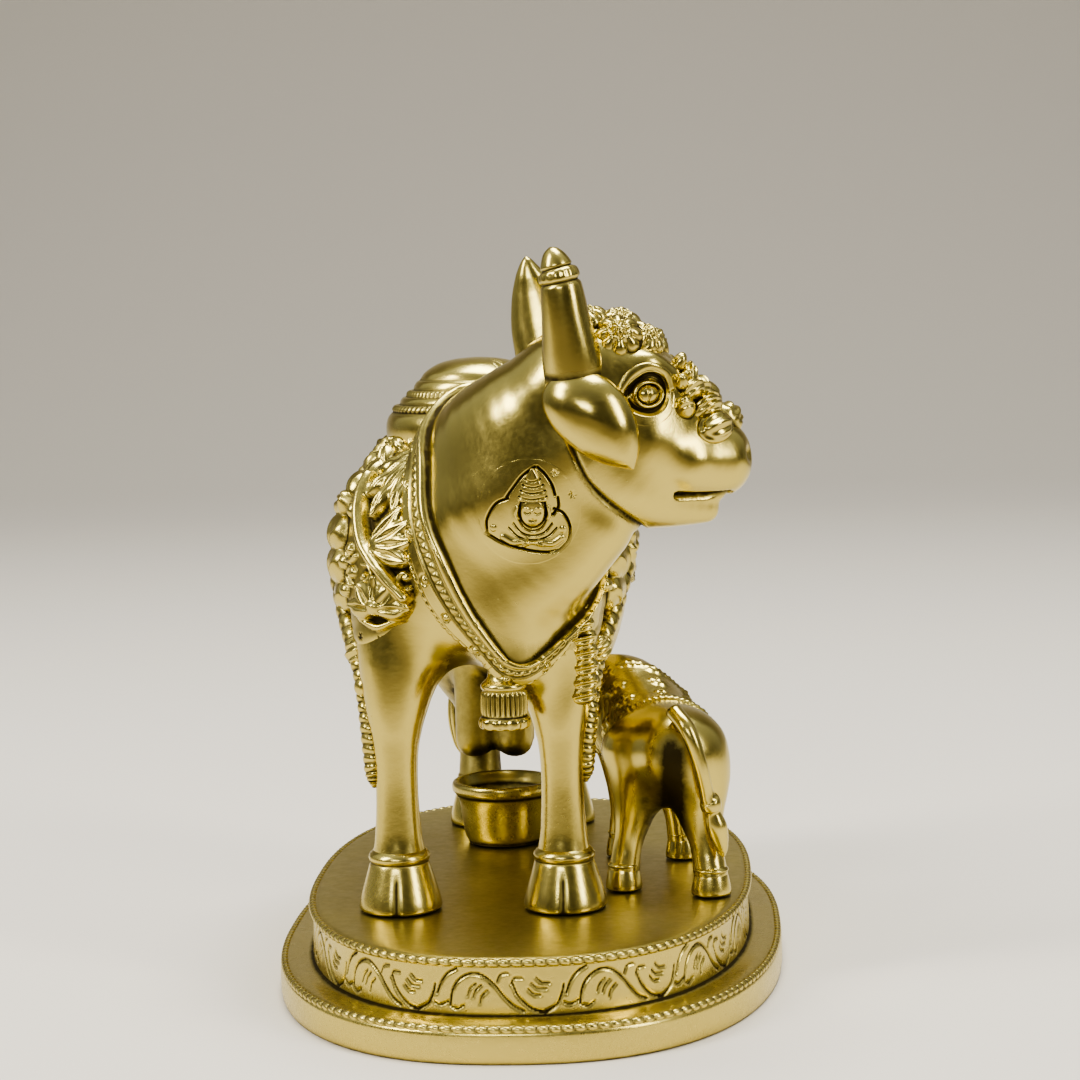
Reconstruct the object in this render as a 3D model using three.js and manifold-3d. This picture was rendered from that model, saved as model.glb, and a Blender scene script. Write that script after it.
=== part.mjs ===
// A cast brass idol: a cow with her head turned to her left, her suckling calf and a milk pot,
// on a stepped oval plinth.
// Millimetres, +Z up. The origin is the middle of the plinth's underside, and the cow faces -Y.
import * as THREE from "three";
import { mergeVertices } from "three/addons/utils/BufferGeometryUtils.js";
import Module from "manifold-3d";

// Driving dimensions
const plinthWide = 114;
const plinthLong = 176;
const plinthTall = 20;
const lowerTierTall = 7.8;
const upperTierInset = 7.2;
const ovalPower = 2.4; // 2 is an ellipse, and more is squarer
const cowX = -8.8; // the cow's middle plane
const foreLegApart = 18; // from the middle plane
const hindLegApart = 10.4;
const foreLegY = -38;
const hindLegY = 51;
const hoofRadius = 9.2;
const bodyPower = 2.4;
const humpY = -12;
const collarThick = 1.9;
const headTurn = THREE.MathUtils.degToRad(14); // past a right angle to the body
const headAt = new THREE.Vector3(20, -46.5, 128);
const potRadius = 12.6;
const potTall = 15;
const potWall = 1.8;
const potAt = new THREE.Vector3(-8.6, 29, plinthTall + 0.3);
const gap = 0.3; // between pieces that rest on each other

const brass = () => new THREE.MeshStandardMaterial({ color: 0xb08d3c, roughness: 0.3, metalness: 1 });
const vec = (x, y, z) => new THREE.Vector3(x, y, z);
const wasm = await Module();
wasm.setup();

// Solids and geometries, both ways

function solidOf(geometry) {
  const bare = geometry.clone();
  bare.deleteAttribute("normal");
  bare.deleteAttribute("uv");
  const merged = mergeVertices(bare, 1e-4);
  return new wasm.Manifold(
    new wasm.Mesh({
      numProp: 3,
      vertProperties: new Float32Array(merged.attributes.position.array),
      triVerts: new Uint32Array(merged.index.array),
    }),
  );
}

function geometryOf(solid) {
  const mesh = solid.getMesh();
  const positions = new Float32Array(mesh.numVert * 3);
  for (let i = 0; i < mesh.numVert; i++)
    positions.set(mesh.vertProperties.subarray(i * mesh.numProp, i * mesh.numProp + 3), i * 3);
  const geometry = new THREE.BufferGeometry();
  geometry.setAttribute("position", new THREE.BufferAttribute(positions, 3));
  geometry.setIndex(new THREE.BufferAttribute(new Uint32Array(mesh.triVerts), 1));
  geometry.computeVertexNormals();
  return geometry;
}

const joined = (solids) => solids.reduce((whole, next) => whole.add(next));

// A closed skin over rings of equal length, each counter-clockwise about the way the rings go.
function skin(rings) {
  const sides = rings[0].length;
  const points = rings.flat();
  const index = [];
  for (let i = 0; i < rings.length - 1; i++)
    for (let j = 0; j < sides; j++) {
      const a = i * sides + j;
      const b = i * sides + ((j + 1) % sides);
      index.push(a, b, b + sides, a, b + sides, a + sides);
    }
  [rings[0], rings.at(-1)].forEach((ring, end) => {
    const middle = ring.reduce((sum, p) => sum.add(p), vec(0, 0, 0)).divideScalar(sides);
    const centre = points.push(middle) - 1;
    const first = end * (rings.length - 1) * sides;
    for (let j = 0; j < sides; j++) {
      const a = first + j;
      const b = first + ((j + 1) % sides);
      index.push(centre, ...(end ? [a, b] : [b, a]));
    }
  });
  const geometry = new THREE.BufferGeometry().setFromPoints(points);
  geometry.setIndex(index);
  return solidOf(geometry);
}

// A superellipse's share of its half size along each of two directions.
function ovalShare(angle, power) {
  const bend = (v) => Math.sign(v) * Math.abs(v) ** (2 / power);
  return [bend(Math.cos(angle)), bend(Math.sin(angle))];
}

function ovalRing(centre, alongA, alongB, power, sides) {
  return Array.from({ length: sides }, (_, j) => {
    const [a, b] = ovalShare((2 * Math.PI * j) / sides, power);
    return centre.clone().addScaledVector(alongA, a).addScaledVector(alongB, b);
  });
}

// A limb: oval rings along a smooth curve through stations
// [x, y, z, half size towards the reference, half size across it].
function limb(stations, { sides = 10, steps = 10, towards = vec(0, 0, 1), power = 2 } = {}) {
  const line = new THREE.CatmullRomCurve3(stations.map(([x, y, z]) => vec(x, y, z)));
  const size = new THREE.CatmullRomCurve3(stations.map(([, , , a, b = a]) => vec(a, b, 0)));
  const rings = [];
  for (let i = 0; i <= steps; i++) {
    const along = line.getTangent(i / steps);
    const first = towards.clone().addScaledVector(along, -towards.dot(along)).normalize();
    const second = along.clone().cross(first);
    const { x: a, y: b } = size.getPoint(i / steps);
    const middle = line.getPoint(i / steps);
    rings.push(ovalRing(middle, first.multiplyScalar(a), second.multiplyScalar(b), power, sides));
  }
  return skin(rings);
}

function ball(at, radii, { sides = 10, rows = 6, turn = 0 } = {}) {
  const geometry = new THREE.SphereGeometry(1, sides, rows);
  geometry.scale(radii.x, radii.y, radii.z).rotateZ(turn).translate(at.x, at.y, at.z);
  return solidOf(geometry);
}

// A raised flower that lies on a surface, with a scalloped edge and a domed middle.
function rosette(at, outward, radius, petals = 6) {
  const axis = outward.clone().normalize();
  const reference = Math.abs(axis.z) < 0.9 ? vec(0, 0, 1) : vec(0, 1, 0);
  const first = reference.addScaledVector(axis, -reference.dot(axis)).normalize();
  const second = axis.clone().cross(first);
  const ring = (share, lift, scallop) =>
    Array.from({ length: petals * 2 }, (_, j) => {
      const r = radius * share * (j % 2 ? 1 - scallop : 1);
      const angle = (Math.PI * j) / petals;
      return at
        .clone()
        .addScaledVector(first, r * Math.cos(angle))
        .addScaledVector(second, r * Math.sin(angle))
        .addScaledVector(axis, lift);
    });
  return skin([ring(1, -1.5, 0.25), ring(1, 0.9, 0.25), ring(0.4, 1.8, 0)]);
}

// Plinth: two oval tiers, each with a rounded bead along its top edge.

function plinthRing(inset, z) {
  const sides = 42;
  const [across, along] = [vec(plinthWide / 2 - inset, 0, 0), vec(0, plinthLong / 2 - inset, 0)];
  return ovalRing(vec(0, 0, z), across, along, ovalPower, sides);
}

function plinth() {
  const bead = 0.7;
  const outline = [
    [0.4, 0],
    [0, 1.5],
    [0.2, lowerTierTall - 1.6],
    [0.2 - bead / 2, lowerTierTall - 0.8],
    [0.9, lowerTierTall],
    [upperTierInset - 0.6, lowerTierTall],
    [upperTierInset, lowerTierTall + 0.8],
    [upperTierInset + 0.2, plinthTall - 2],
    [upperTierInset - bead, plinthTall - 1],
    [upperTierInset + 0.6, plinthTall],
  ];
  return skin(outline.map(([inset, z]) => plinthRing(inset, z)));
}

// Cow

const bodySections = [
  // y, half width, half height, middle height
  [-46, 3, 5, 88],
  [-42, 11, 15, 91],
  [-35, 18.5, 22.5, 95],
  [-25, 26.5, 27.5, 97.5],
  [-8, 31.5, 29, 98.5],
  [20, 33, 29.5, 98],
  [42, 29.5, 27.5, 99],
  [57, 21, 20, 101],
  [65, 4, 5, 102],
];

function sectionAt(y) {
  const last = bodySections.length - 1;
  const i = Math.max(0, Math.min(last - 1, bodySections.findIndex(([next]) => next > y) - 1));
  const [y0, ...low] = bodySections[i];
  const [y1, ...high] = bodySections[i + 1];
  const share = (y - y0) / (y1 - y0);
  const [wide, tall, middle] = low.map((v, k) => v + (high[k] - v) * share);
  return { wide, tall, middle };
}

// A point on the body's side: angle 0 is level, on the side that the sign gives,
// and 90 degrees is the spine.
function onBody(y, degrees, side) {
  const { wide, tall, middle } = sectionAt(y);
  const [a, b] = ovalShare(THREE.MathUtils.degToRad(degrees), bodyPower);
  const at = vec(cowX + side * wide * a, y, middle + tall * b);
  const outward = vec((side * a) / wide, 0, b / tall).normalize();
  return { at, outward };
}

function cowBody() {
  const stations = bodySections.map(([y, wide, tall, middle]) => [cowX, y, middle, tall, wide]);
  return limb(stations, { sides: 16, steps: 12, power: bodyPower });
}

function cowNeck() {
  const stations = [
    [-9, -15, 94, 27, 24],
    [-4.5, -35, 102.5, 32.4, 16.6],
    [1.5, -43, 109.5, 29, 14.4],
    [11.5, -47.5, 119, 24.5, 12.6],
    [20, -46.5, 128, 17, 11.5],
  ];
  return limb(stations, { sides: 14, steps: 7 });
}

// From the head's own directions, towards the muzzle, to her left and up, to the part's frame.
function inHead(forward, left, up) {
  return vec(forward, left, up).applyAxisAngle(vec(0, 0, 1), headTurn).add(headAt);
}

function headLimb(stations, options = {}) {
  const placed = stations.map(([f, l, u, ...sizes]) => [...inHead(f, l, u).toArray(), ...sizes]);
  return limb(placed, options);
}

function cowHorn(side) {
  const lean = side > 0 ? -1.6 : 0; // the far horn is shorter and leans back
  const stations = [
    [-5.6, side * 8, 7, 6.3],
    [-6.4, side * 9.4, 14, 6.2],
    [-8 + lean * 0.4, side * 10.6, 21, 5],
    [-9 + lean, side * 11, 27 + lean, 4.2],
    [-10 + lean, side * 10.6, 32 + lean, 3],
    [-10.6 + lean, side * 10, 34.6 + lean, 1],
  ];
  return headLimb(stations, { sides: 8, steps: 6, towards: vec(1, 0, 0) });
}

function cowEar(side) {
  const stations = [
    [-10, side * 9, 7.5, 1.5, 2],
    [-8, side * 12, 4, 7.6, 4],
    [-3.4, side * 14.4, 0, 8.8, 4.4],
    [1.6, side * 15, -5.4, 6.2, 3.4],
    [5, side * 14.6, -10.4, 0.8, 0.8],
  ];
  return headLimb(stations, { sides: 7, steps: 5, towards: vec(0.8, 0, 0.6) });
}

function cowEye(side) {
  return ball(inHead(8.6, side * 10.6, 5.4), vec(4.6, 2.9, 4.2), { sides: 8, rows: 5, turn: headTurn });
}

// Flowers over the forehead, and a cluster of buds on the bridge of the nose.
function headFlowers() {
  const crown = [
    [9, -7, 14.5, 5.6],
    [11.5, 4, 14, 5.4],
    [3, -2, 18.6, 4.8],
    [5, 8.2, 14, 4.6],
  ].map(([f, l, u, r]) => {
    const at = inHead(f, l, u);
    return rosette(at, at.clone().sub(inHead(0, 0, 4)), r, 5);
  });
  const buds = [
    [17, -3.4, 6, 3.2],
    [21, 0, 4.6, 4],
    [21.5, -5, 0, 3.8],
    [21.5, 5, 0, 3.8],
    [25, 0, -3.6, 4.4],
  ].map(([f, l, u, r]) => ball(inHead(f, l, u), vec(r, r, r * 0.8), { sides: 6, rows: 4 }));
  return joined([...crown, ...buds]);
}

function cowHead() {
  const skull = ball(inHead(0.5, 0, 4.6), vec(14.5, 12.2, 14.8), { sides: 12, rows: 8, turn: headTurn });
  const face = headLimb(
    [
      [3, 0, 1, 14.5, 11.5],
      [12.5, 0, -4, 13.6, 10.8],
      [19.5, 0, -8, 10.6, 9],
      [25, 0, -11, 7.6, 8.2],
      [29.4, 0, -11.8, 6.2, 7.4],
      [31.2, 0, -12, 3.4, 4.4],
    ],
    { sides: 11, steps: 6 },
  );
  const jaw = headLimb(
    [
      [0, 0, -10, 11.5, 10],
      [10, 0, -15.4, 9.6, 8.6],
      [17, 0, -20, 4.8, 6.8],
      [22, 0, -21.3, 3.1, 5],
      [24.6, 0, -21.6, 1.5, 2.6],
    ],
    { sides: 9, steps: 5 },
  );
  const pairs = [-1, 1].flatMap((side) => [cowHorn(side), cowEar(side), cowEye(side)]);
  return joined([skull, face, jaw, headFlowers(), ...pairs]);
}

function foreLeg(side) {
  const x = cowX + side * foreLegApart;
  const shape = [
    [plinthTall + gap, hoofRadius],
    [24, 8.9],
    [29.6, 6.4],
    [30.6, 6.7],
    [33, 5.9],
    [47, 4.7],
    [58, 5.4],
    [66, 7.6],
    [76, 9],
    [86, 8.5],
  ];
  const stations = shape.map(([z, r]) => {
    const above = Math.max(0, z - 60);
    return [x - above * 0.1 * side, foreLegY + above * 0.24, z, r, r * (1 + above * 0.008)];
  });
  return limb(stations, { sides: 9, steps: 11, towards: vec(1, 0, 0) });
}

function hindLeg(side) {
  const x = cowX + side * hindLegApart + 3;
  const shape = [
    // z, forward of the hoof, radius
    [plinthTall + gap, 0, hoofRadius * 0.9],
    [24, 0, 7.9],
    [29.2, 0, 5.9],
    [30.4, 0, 6.1],
    [34, 0.5, 5.2],
    [46, 2.5, 5.4],
    [52, 1.5, 6.6],
    [62, -4, 10.5],
    [76, -9, 14],
    [92, -12, 15],
  ];
  const stations = shape.map(([z, back, r]) => {
    const splay = side * Math.max(0, z - 46) * 0.14;
    return [x + splay, hindLegY + back, z, r * 0.9, r * 1.05];
  });
  return limb(stations, { sides: 9, steps: 11, towards: vec(1, 0, 0) });
}

function udder() {
  const bag = ball(vec(cowX + 2, 33, 68), vec(12, 12, 11), { sides: 10, rows: 6 });
  const teats = [
    [-5, 28],
    [2.5, 28],
    [-5, 38],
    [4, 38],
  ].map(([dx, y]) => {
    const x = cowX + 2 + dx;
    return limb([[x, y, 62, 2.8], [x, y, 50, 1.6]], { sides: 6, steps: 1, towards: vec(1, 0, 0) });
  });
  return joined([bag, ...teats]);
}

function cowTail() {
  const stations = [
    [cowX, 58, 116, 3.2],
    [cowX, 67.5, 110, 3.2],
    [cowX - 1, 70, 94, 2.8],
    [cowX - 4, 68, 76, 2.6],
    [cowX - 9, 66, 60, 2.8],
    [cowX - 12, 65, 50, 4.4],
    [cowX - 13, 64.5, 42, 3.6],
    [cowX - 13, 64, 35, 0.8],
  ];
  return limb(stations, { sides: 6, steps: 10, towards: vec(1, 0, 0) });
}

// The hump carries a cushion of two rolls that step in towards its dome.
function humpCushion() {
  const rolls = [
    [20.5, 18.5, 118, 128.6],
    [16.8, 15.5, 126, 133],
  ];
  const tiers = rolls.map(([wide, long, low, high]) => {
    const ring = (share, z) =>
      ovalRing(vec(cowX, humpY, z), vec(wide * share, 0, 0), vec(0, long * share, 0), 2, 12);
    return skin([ring(0.88, low), ring(1, (low + high) / 2 + 1), ring(0.88, high)]);
  });
  return joined([...tiers, ball(vec(cowX, humpY, 128), vec(13.2, 12.4, 11), { sides: 12, rows: 6 })]);
}

// The collar is a flat band around the root of the neck, between an outer oval
// and a smaller one farther forward.
function collar() {
  const around = 24;
  const ovals = [
    { centre: vec(-4.5, -35.5, 101.5), across: vec(16.4, 4.8, 0), up: vec(-4, 14.3, 31) },
    { centre: vec(-0.5, -40, 104), across: vec(12.6, 6, 0), up: vec(-3.6, 13, 28.6) },
  ];
  const rings = Array.from({ length: around }, (_, i) => {
    const angle = (-2 * Math.PI * i) / around;
    const [outer, inner] = ovals.map(({ centre, across, up }) =>
      centre.clone().addScaledVector(across, Math.cos(angle)).addScaledVector(up, Math.sin(angle)),
    );
    const { up, across } = ovals[0];
    const along = up.clone().multiplyScalar(-Math.cos(angle)).addScaledVector(across, Math.sin(angle));
    const half = inner.clone().sub(outer).divideScalar(2);
    const proud = half.clone().cross(along).normalize().multiplyScalar(collarThick);
    return [
      outer.clone().add(proud),
      inner.clone().add(proud),
      inner.clone().sub(proud),
      outer.clone().sub(proud),
    ];
  });
  return closedLoop(rings);
}

// A closed tube over rings that run round in a loop.
function closedLoop(rings) {
  const sides = rings[0].length;
  const index = [];
  rings.forEach((_, i) => {
    const next = (i + 1) % rings.length;
    for (let j = 0; j < sides; j++) {
      const k = (j + 1) % sides;
      index.push(i * sides + j, i * sides + k, next * sides + k);
      index.push(i * sides + j, next * sides + k, next * sides + j);
    }
  });
  const geometry = new THREE.BufferGeometry().setFromPoints(rings.flat());
  geometry.setIndex(index);
  return solidOf(geometry);
}

function bell() {
  const profile = [
    [0, 61.8],
    [5, 61.4],
    [5.4, 62.6],
    [5, 64.8],
    [4.5, 69.6],
    [3.4, 73],
    [0, 77],
  ];
  const geometry = new THREE.LatheGeometry(
    profile.map(([r, z]) => new THREE.Vector2(r, z)),
    10,
  );
  geometry.rotateX(Math.PI / 2).translate(-2.2, -47.5, 0);
  return solidOf(geometry);
}

// A blanket over the back, with a rolled edge, that stands proud of the body.
function saddleCloth() {
  const front = 8;
  const back = 50;
  const proud = 1.3;
  const lowest = -8;
  const sides = 16;
  const rings = [];
  for (let i = 0; i <= 5; i++) {
    const y = front + ((back - front) * i) / 5;
    const outer = Array.from({ length: sides + 1 }, (_, j) => {
      const sweep = lowest + ((180 - 2 * lowest) * j) / sides;
      const { at, outward } = onBody(y, sweep > 90 ? 180 - sweep : sweep, sweep > 90 ? -1 : 1);
      return at.addScaledVector(outward, proud);
    });
    rings.push([...outer].reverse().concat([vec(cowX, y, 92)]));
  }
  return skin(rings);
}

// Relief on one flank: a flower medallion on the cloth, and swags along its lower edge.
function flankRelief(side) {
  const { at, outward } = onBody(29, 26, side);
  const medallion = rosette(at.addScaledVector(outward, 0.8), outward, 8.5, 8);
  const swag = (from, to) => {
    const stations = [0, 0.5, 1].map((share) => {
      const dip = 4 * share * (1 - share);
      return [...onBody(from + (to - from) * share, -10 - 12 * dip, side).at.toArray(), 1.9 + dip * 0.4];
    });
    return limb(stations, { sides: 6, steps: 4, towards: vec(0, 0, 1) });
  };
  return [medallion, swag(9, 29), swag(29, 49)];
}

// Relief on one shoulder: a spray of buds, a leaf, a bent strap and a flower under it.
function shoulderRelief(side) {
  const place = (y, degrees, lift = 0.6) => {
    const { at, outward } = onBody(y, degrees, side);
    return at.addScaledVector(outward, lift);
  };
  const buds = [
    [-4, 52, 4],
    [0, 38, 4],
    [2, 22, 4.2],
    [-1, 8, 4.4],
    [-17, 40, 3.6],
  ].map(([y, degrees, r]) => ball(place(y, degrees), vec(r, r, r), { sides: 6, rows: 4 }));
  const strapLine = [
    [-10, 20],
    [-9, 6],
    [-14, -8],
    [-21, -18],
  ];
  const strap = limb(
    strapLine.map(([y, degrees]) => [...place(y, degrees, 0.8).toArray(), 2.2]),
    { sides: 6, steps: 5, towards: vec(side, 0, 0) },
  );
  const { at, outward } = onBody(-15, -22, side);
  return [...buds, strap, rosette(at, outward, 5, 5)];
}

// A jointed strip that hangs from the shoulder down the outside of the foreleg.
function legTassel(side) {
  const legX = foreLegApart;
  const stations = [
    [legX + 14, -16, 92, 2.6],
    [legX + 10, -24, 82, 2.6],
    [legX + 7.6, -31, 74, 3],
    [legX + 6.2, -35.5, 66, 2.2],
    [legX + 5, -37.5, 58, 2],
    [legX + 4.4, -38, 52, 2.4],
    [legX + 4.4, -38, 47, 0.6],
  ].map(([dx, y, z, r]) => [cowX + side * dx, y, z, r]);
  return limb(stations, { sides: 6, steps: 9, towards: vec(1, 0, 0) });
}

function cow() {
  const bothSides = [-1, 1].flatMap((side) => [
    foreLeg(side),
    hindLeg(side),
    legTassel(side),
    ...shoulderRelief(side),
    ...flankRelief(side),
  ]);
  const trappings = [humpCushion(), saddleCloth(), collar(), bell()];
  return joined([cowBody(), cowNeck(), cowHead(), udder(), cowTail(), ...trappings, ...bothSides]);
}

// Calf, with its rump to the front and its muzzle at the udder

const calfLegs = [
  // x, y at the floor, x, y at the top, height of the top, foot radius
  [41, -29, 38, -24, 48, 3.7],
  [21.6, -23, 25.5, -21, 48, 3.4],
  [34.5, 8, 31.5, 8, 50, 3.5],
  [20.5, 11, 22, 10, 50, 3.5],
];

function calfLeg([x, y, topX, topY, top, r]) {
  const stations = [
    [x, y, plinthTall + gap, r],
    [x, y, plinthTall + 5, r * 0.95],
    [x + (topX - x) * 0.4, y + (topY - y) * 0.4, plinthTall + 13, r * 0.95],
    [topX, topY, top - 8, r * 1.7],
    [topX, topY, top, r * 2],
  ];
  return limb(stations, { sides: 7, steps: 6, towards: vec(1, 0, 0) });
}

function calf() {
  const trunk = limb(
    [
      [34.5, -35, 54, 2.5],
      [33.5, -31, 53, 9, 9.4],
      [31.8, -18, 51.5, 11.8, 11.8],
      [29, -4, 52, 12.2, 11.2],
      [26.4, 8, 54.6, 13.4, 10.6],
      [22, 16, 58.5, 9.6, 8],
      [15, 22.5, 59.5, 7, 6.4],
      [8.5, 27.2, 57.8, 6.6, 5.8],
      [3.8, 29.2, 55, 4.4, 4.2],
      [1.2, 29.8, 53.6, 2.2, 2.2],
    ],
    { sides: 10, steps: 12 },
  );
  const cloth = limb(
    [
      [30.8, -11, 53, 12.6, 12],
      [28.6, -2, 53.4, 13.2, 12],
      [26.6, 7, 55.8, 14, 11.4],
    ],
    { sides: 10, steps: 3 },
  );
  const tail = limb(
    [
      [34, -28.5, 60, 2.4],
      [37.6, -34, 56.5, 2],
      [40, -34.4, 46, 1.8],
      [41.2, -33.4, 41, 2.6],
      [42.6, -32.6, 35.5, 2.4],
      [43.6, -32.4, 31, 0.8],
    ],
    { sides: 6, steps: 9, towards: vec(1, 0, 0) },
  );
  const ears = [-1, 1].map((side) =>
    limb(
      [
        [12 + side * 1.6, 24.4 + side * 2.2, 61.5, 1.4],
        [12.6 + side * 4.4, 25 + side * 5.8, 62.5, 2.6, 1.6],
        [13 + side * 6.6, 25 + side * 8.8, 61, 0.6],
      ],
      { sides: 6, steps: 4 },
    ),
  );
  return joined([trunk, cloth, tail, ...ears, ...calfLegs.map(calfLeg)]);
}

// Milk pot: an open vessel with a thick rim, on the plinth under the udder.
function milkPot() {
  const foot = potRadius * 0.7;
  const outline = [
    [0, 0],
    [foot, 0],
    [foot + 1.6, 3],
    [potRadius - 1.2, potTall - 3.4],
    [potRadius, potTall - 2.4],
    [potRadius, potTall],
    [potRadius - potWall, potTall],
    [potRadius - 1.4 - potWall, potTall - 4],
    [foot + 1.4 - potWall, 3],
    [foot - potWall, potWall],
    [0, potWall],
  ];
  const geometry = new THREE.LatheGeometry(
    outline.map(([r, z]) => new THREE.Vector2(r, z)),
    16,
  );
  geometry.rotateX(Math.PI / 2);
  return solidOf(geometry);
}

function piece(name, solid, at = vec(0, 0, 0)) {
  const mesh = new THREE.Mesh(geometryOf(solid), brass());
  mesh.name = name;
  mesh.position.copy(at);
  return mesh;
}

const idol = new THREE.Group();
idol.add(piece("plinth", plinth()));
idol.add(piece("cow", cow()));
idol.add(piece("calf", calf()));
idol.add(piece("milk_pot", milkPot(), potAt));

export default idol;
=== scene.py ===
import math

import bpy
import numpy as np
from mathutils import Matrix, Vector


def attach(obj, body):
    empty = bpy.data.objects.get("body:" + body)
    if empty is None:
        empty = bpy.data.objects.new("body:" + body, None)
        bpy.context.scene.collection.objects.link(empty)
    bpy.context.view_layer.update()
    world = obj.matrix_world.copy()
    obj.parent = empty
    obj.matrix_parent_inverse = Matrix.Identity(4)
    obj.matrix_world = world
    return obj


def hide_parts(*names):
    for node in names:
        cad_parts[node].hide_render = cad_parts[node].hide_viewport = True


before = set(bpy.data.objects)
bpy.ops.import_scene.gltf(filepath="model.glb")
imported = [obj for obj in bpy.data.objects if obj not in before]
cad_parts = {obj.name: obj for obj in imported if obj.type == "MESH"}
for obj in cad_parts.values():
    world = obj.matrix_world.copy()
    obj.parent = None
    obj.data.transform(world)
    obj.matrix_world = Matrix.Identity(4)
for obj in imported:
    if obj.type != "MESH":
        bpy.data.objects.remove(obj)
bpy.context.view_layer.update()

cowX = -8.8  # the cow's middle plane, mm; every size below is in mm unless it says otherwise
plinthTop = 20.0

# Small numpy helpers


def vec(*xyz):
    # numbers as an array
    return np.array(xyz, dtype=float)


def unit(v):
    # each vector over its length
    return v / np.maximum(np.linalg.norm(v, axis=-1, keepdims=True), 1e-9)


def smoothStations(stations, per=5):
    # Catmull-Rom through the rows of stations, with per steps in each gap
    rows = np.asarray(stations, float)
    padded = np.vstack([2 * rows[0] - rows[1], rows, 2 * rows[-1] - rows[-2]])
    t = np.linspace(0, 1, per, endpoint=False)[None, :, None]
    a, b, c, d = (padded[i : i + len(rows) - 1, None, :] for i in range(4))
    line = 0.5 * (2 * b + (c - a) * t + (2 * a - 5 * b + 4 * c - d) * t**2 + (3 * b - a - 3 * c + d) * t**3)
    return np.vstack([line.reshape(-1, rows.shape[1]), rows[-1]])


def softStep(x, low, high):
    # 0 below low, 1 above high, and 3t^2 - 2t^3 between them
    t = np.clip((x - low) / (high - low), 0, 1)
    return t * t * (3 - 2 * t)


def ridge(d, wide):
    # a soft ridge or mark: exp(-(d / wide)^2)
    return np.exp(-((d / wide) ** 2))


def roundTop(d, power=2):
    # a rounded crest: sqrt(1 - d^power), and 0 past d = 1
    return np.sqrt(np.clip(1 - d**power, 0, 1))


def roundAngles(sides):
    # equal steps once round
    return np.linspace(0, 2 * np.pi, sides, endpoint=False)


def sheetGrid(aRange, bRange, step):
    # two arrays of places over a sheet, a along its rows and b along its columns
    return np.meshgrid(np.arange(*aRange, step), np.arange(*bRange, step), indexing="ij")


def blurred(h, radius, wrap=(False, False)):
    # a box average over 2 radius + 1 samples, once along each way of the grid
    for axis in (0, 1):
        pads = [(0, 0), (0, 0)]
        pads[axis] = (radius + 1, radius)
        mode = "wrap" if wrap[axis] else "edge"
        total = np.cumsum(np.pad(h, pads, mode=mode), axis=axis)
        size = 2 * radius + 1
        last = total.shape[axis]
        h = (np.take(total, range(size, last), axis) - np.take(total, range(last - size), axis)) / size
    return h


def cavity(h, radius, gain, wrap=(False, False)):
    # how far a sample lies below the average round it: 0 on a crest, 1 in a recess; it is used as painted
    # shade in recesses
    return np.clip((blurred(blurred(h, radius, wrap), radius, wrap) - h) * gain, 0, 1)


# Meshes


def clipped(points, faces, keep):
    # drop the faces with a corner that is not kept, and the points nothing uses
    faces = faces[keep[faces].all(1)]
    used = np.zeros(len(points), bool)
    used[faces] = True
    number = np.cumsum(used) - 1
    return used, number[faces]


def placed(name, data):
    # an object of this data in the scene
    made = bpy.data.objects.new(name, data)
    bpy.context.scene.collection.objects.link(made)
    return made


def addMesh(name, points, faces, dirtAndShade, material="brass"):
    # points in mm, faces as an (n, 4) array; a face of three repeats its last corner
    mesh = bpy.data.meshes.new(name)
    faces = np.asarray(faces, dtype=np.int32)
    triangles = faces[:, 2] == faces[:, 3]
    counts = np.where(triangles, 3, 4).astype(np.int32)
    keep = np.ones(faces.shape, bool)
    keep[triangles, 3] = False
    mesh.vertices.add(len(points))
    mesh.vertices.foreach_set("co", (np.asarray(points, np.float32) / 1000).ravel())
    mesh.loops.add(int(counts.sum()))
    mesh.loops.foreach_set("vertex_index", faces[keep])
    mesh.polygons.add(len(faces))
    mesh.polygons.foreach_set("loop_start", np.concatenate([[0], np.cumsum(counts)[:-1]]).astype(np.int32))
    mesh.polygons.foreach_set("use_smooth", np.ones(len(faces), bool))
    mesh.update(calc_edges=True)
    mesh.validate()
    layer = mesh.attributes.new("dirtAndShade", "FLOAT", "POINT")
    layer.data.foreach_set("value", np.asarray(dirtAndShade, np.float32).ravel())
    piece = placed(name, mesh)
    mesh.materials.append(finishes[material])
    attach(piece, "root")
    return piece


def gridFaces(rows, columns, loopRows=False, loopColumns=False):
    # four-cornered faces over a grid of points, joined round where a way loops
    i = np.arange(rows if loopRows else rows - 1)[:, None]
    j = np.arange(columns if loopColumns else columns - 1)[None, :]
    nextI, nextJ = (i + 1) % rows, (j + 1) % columns
    corners = [i * columns + j, i * columns + nextJ, nextI * columns + nextJ, nextI * columns + j]
    return np.stack([np.broadcast_to(c, (i.size, j.size)).ravel() for c in corners], 1)


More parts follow.
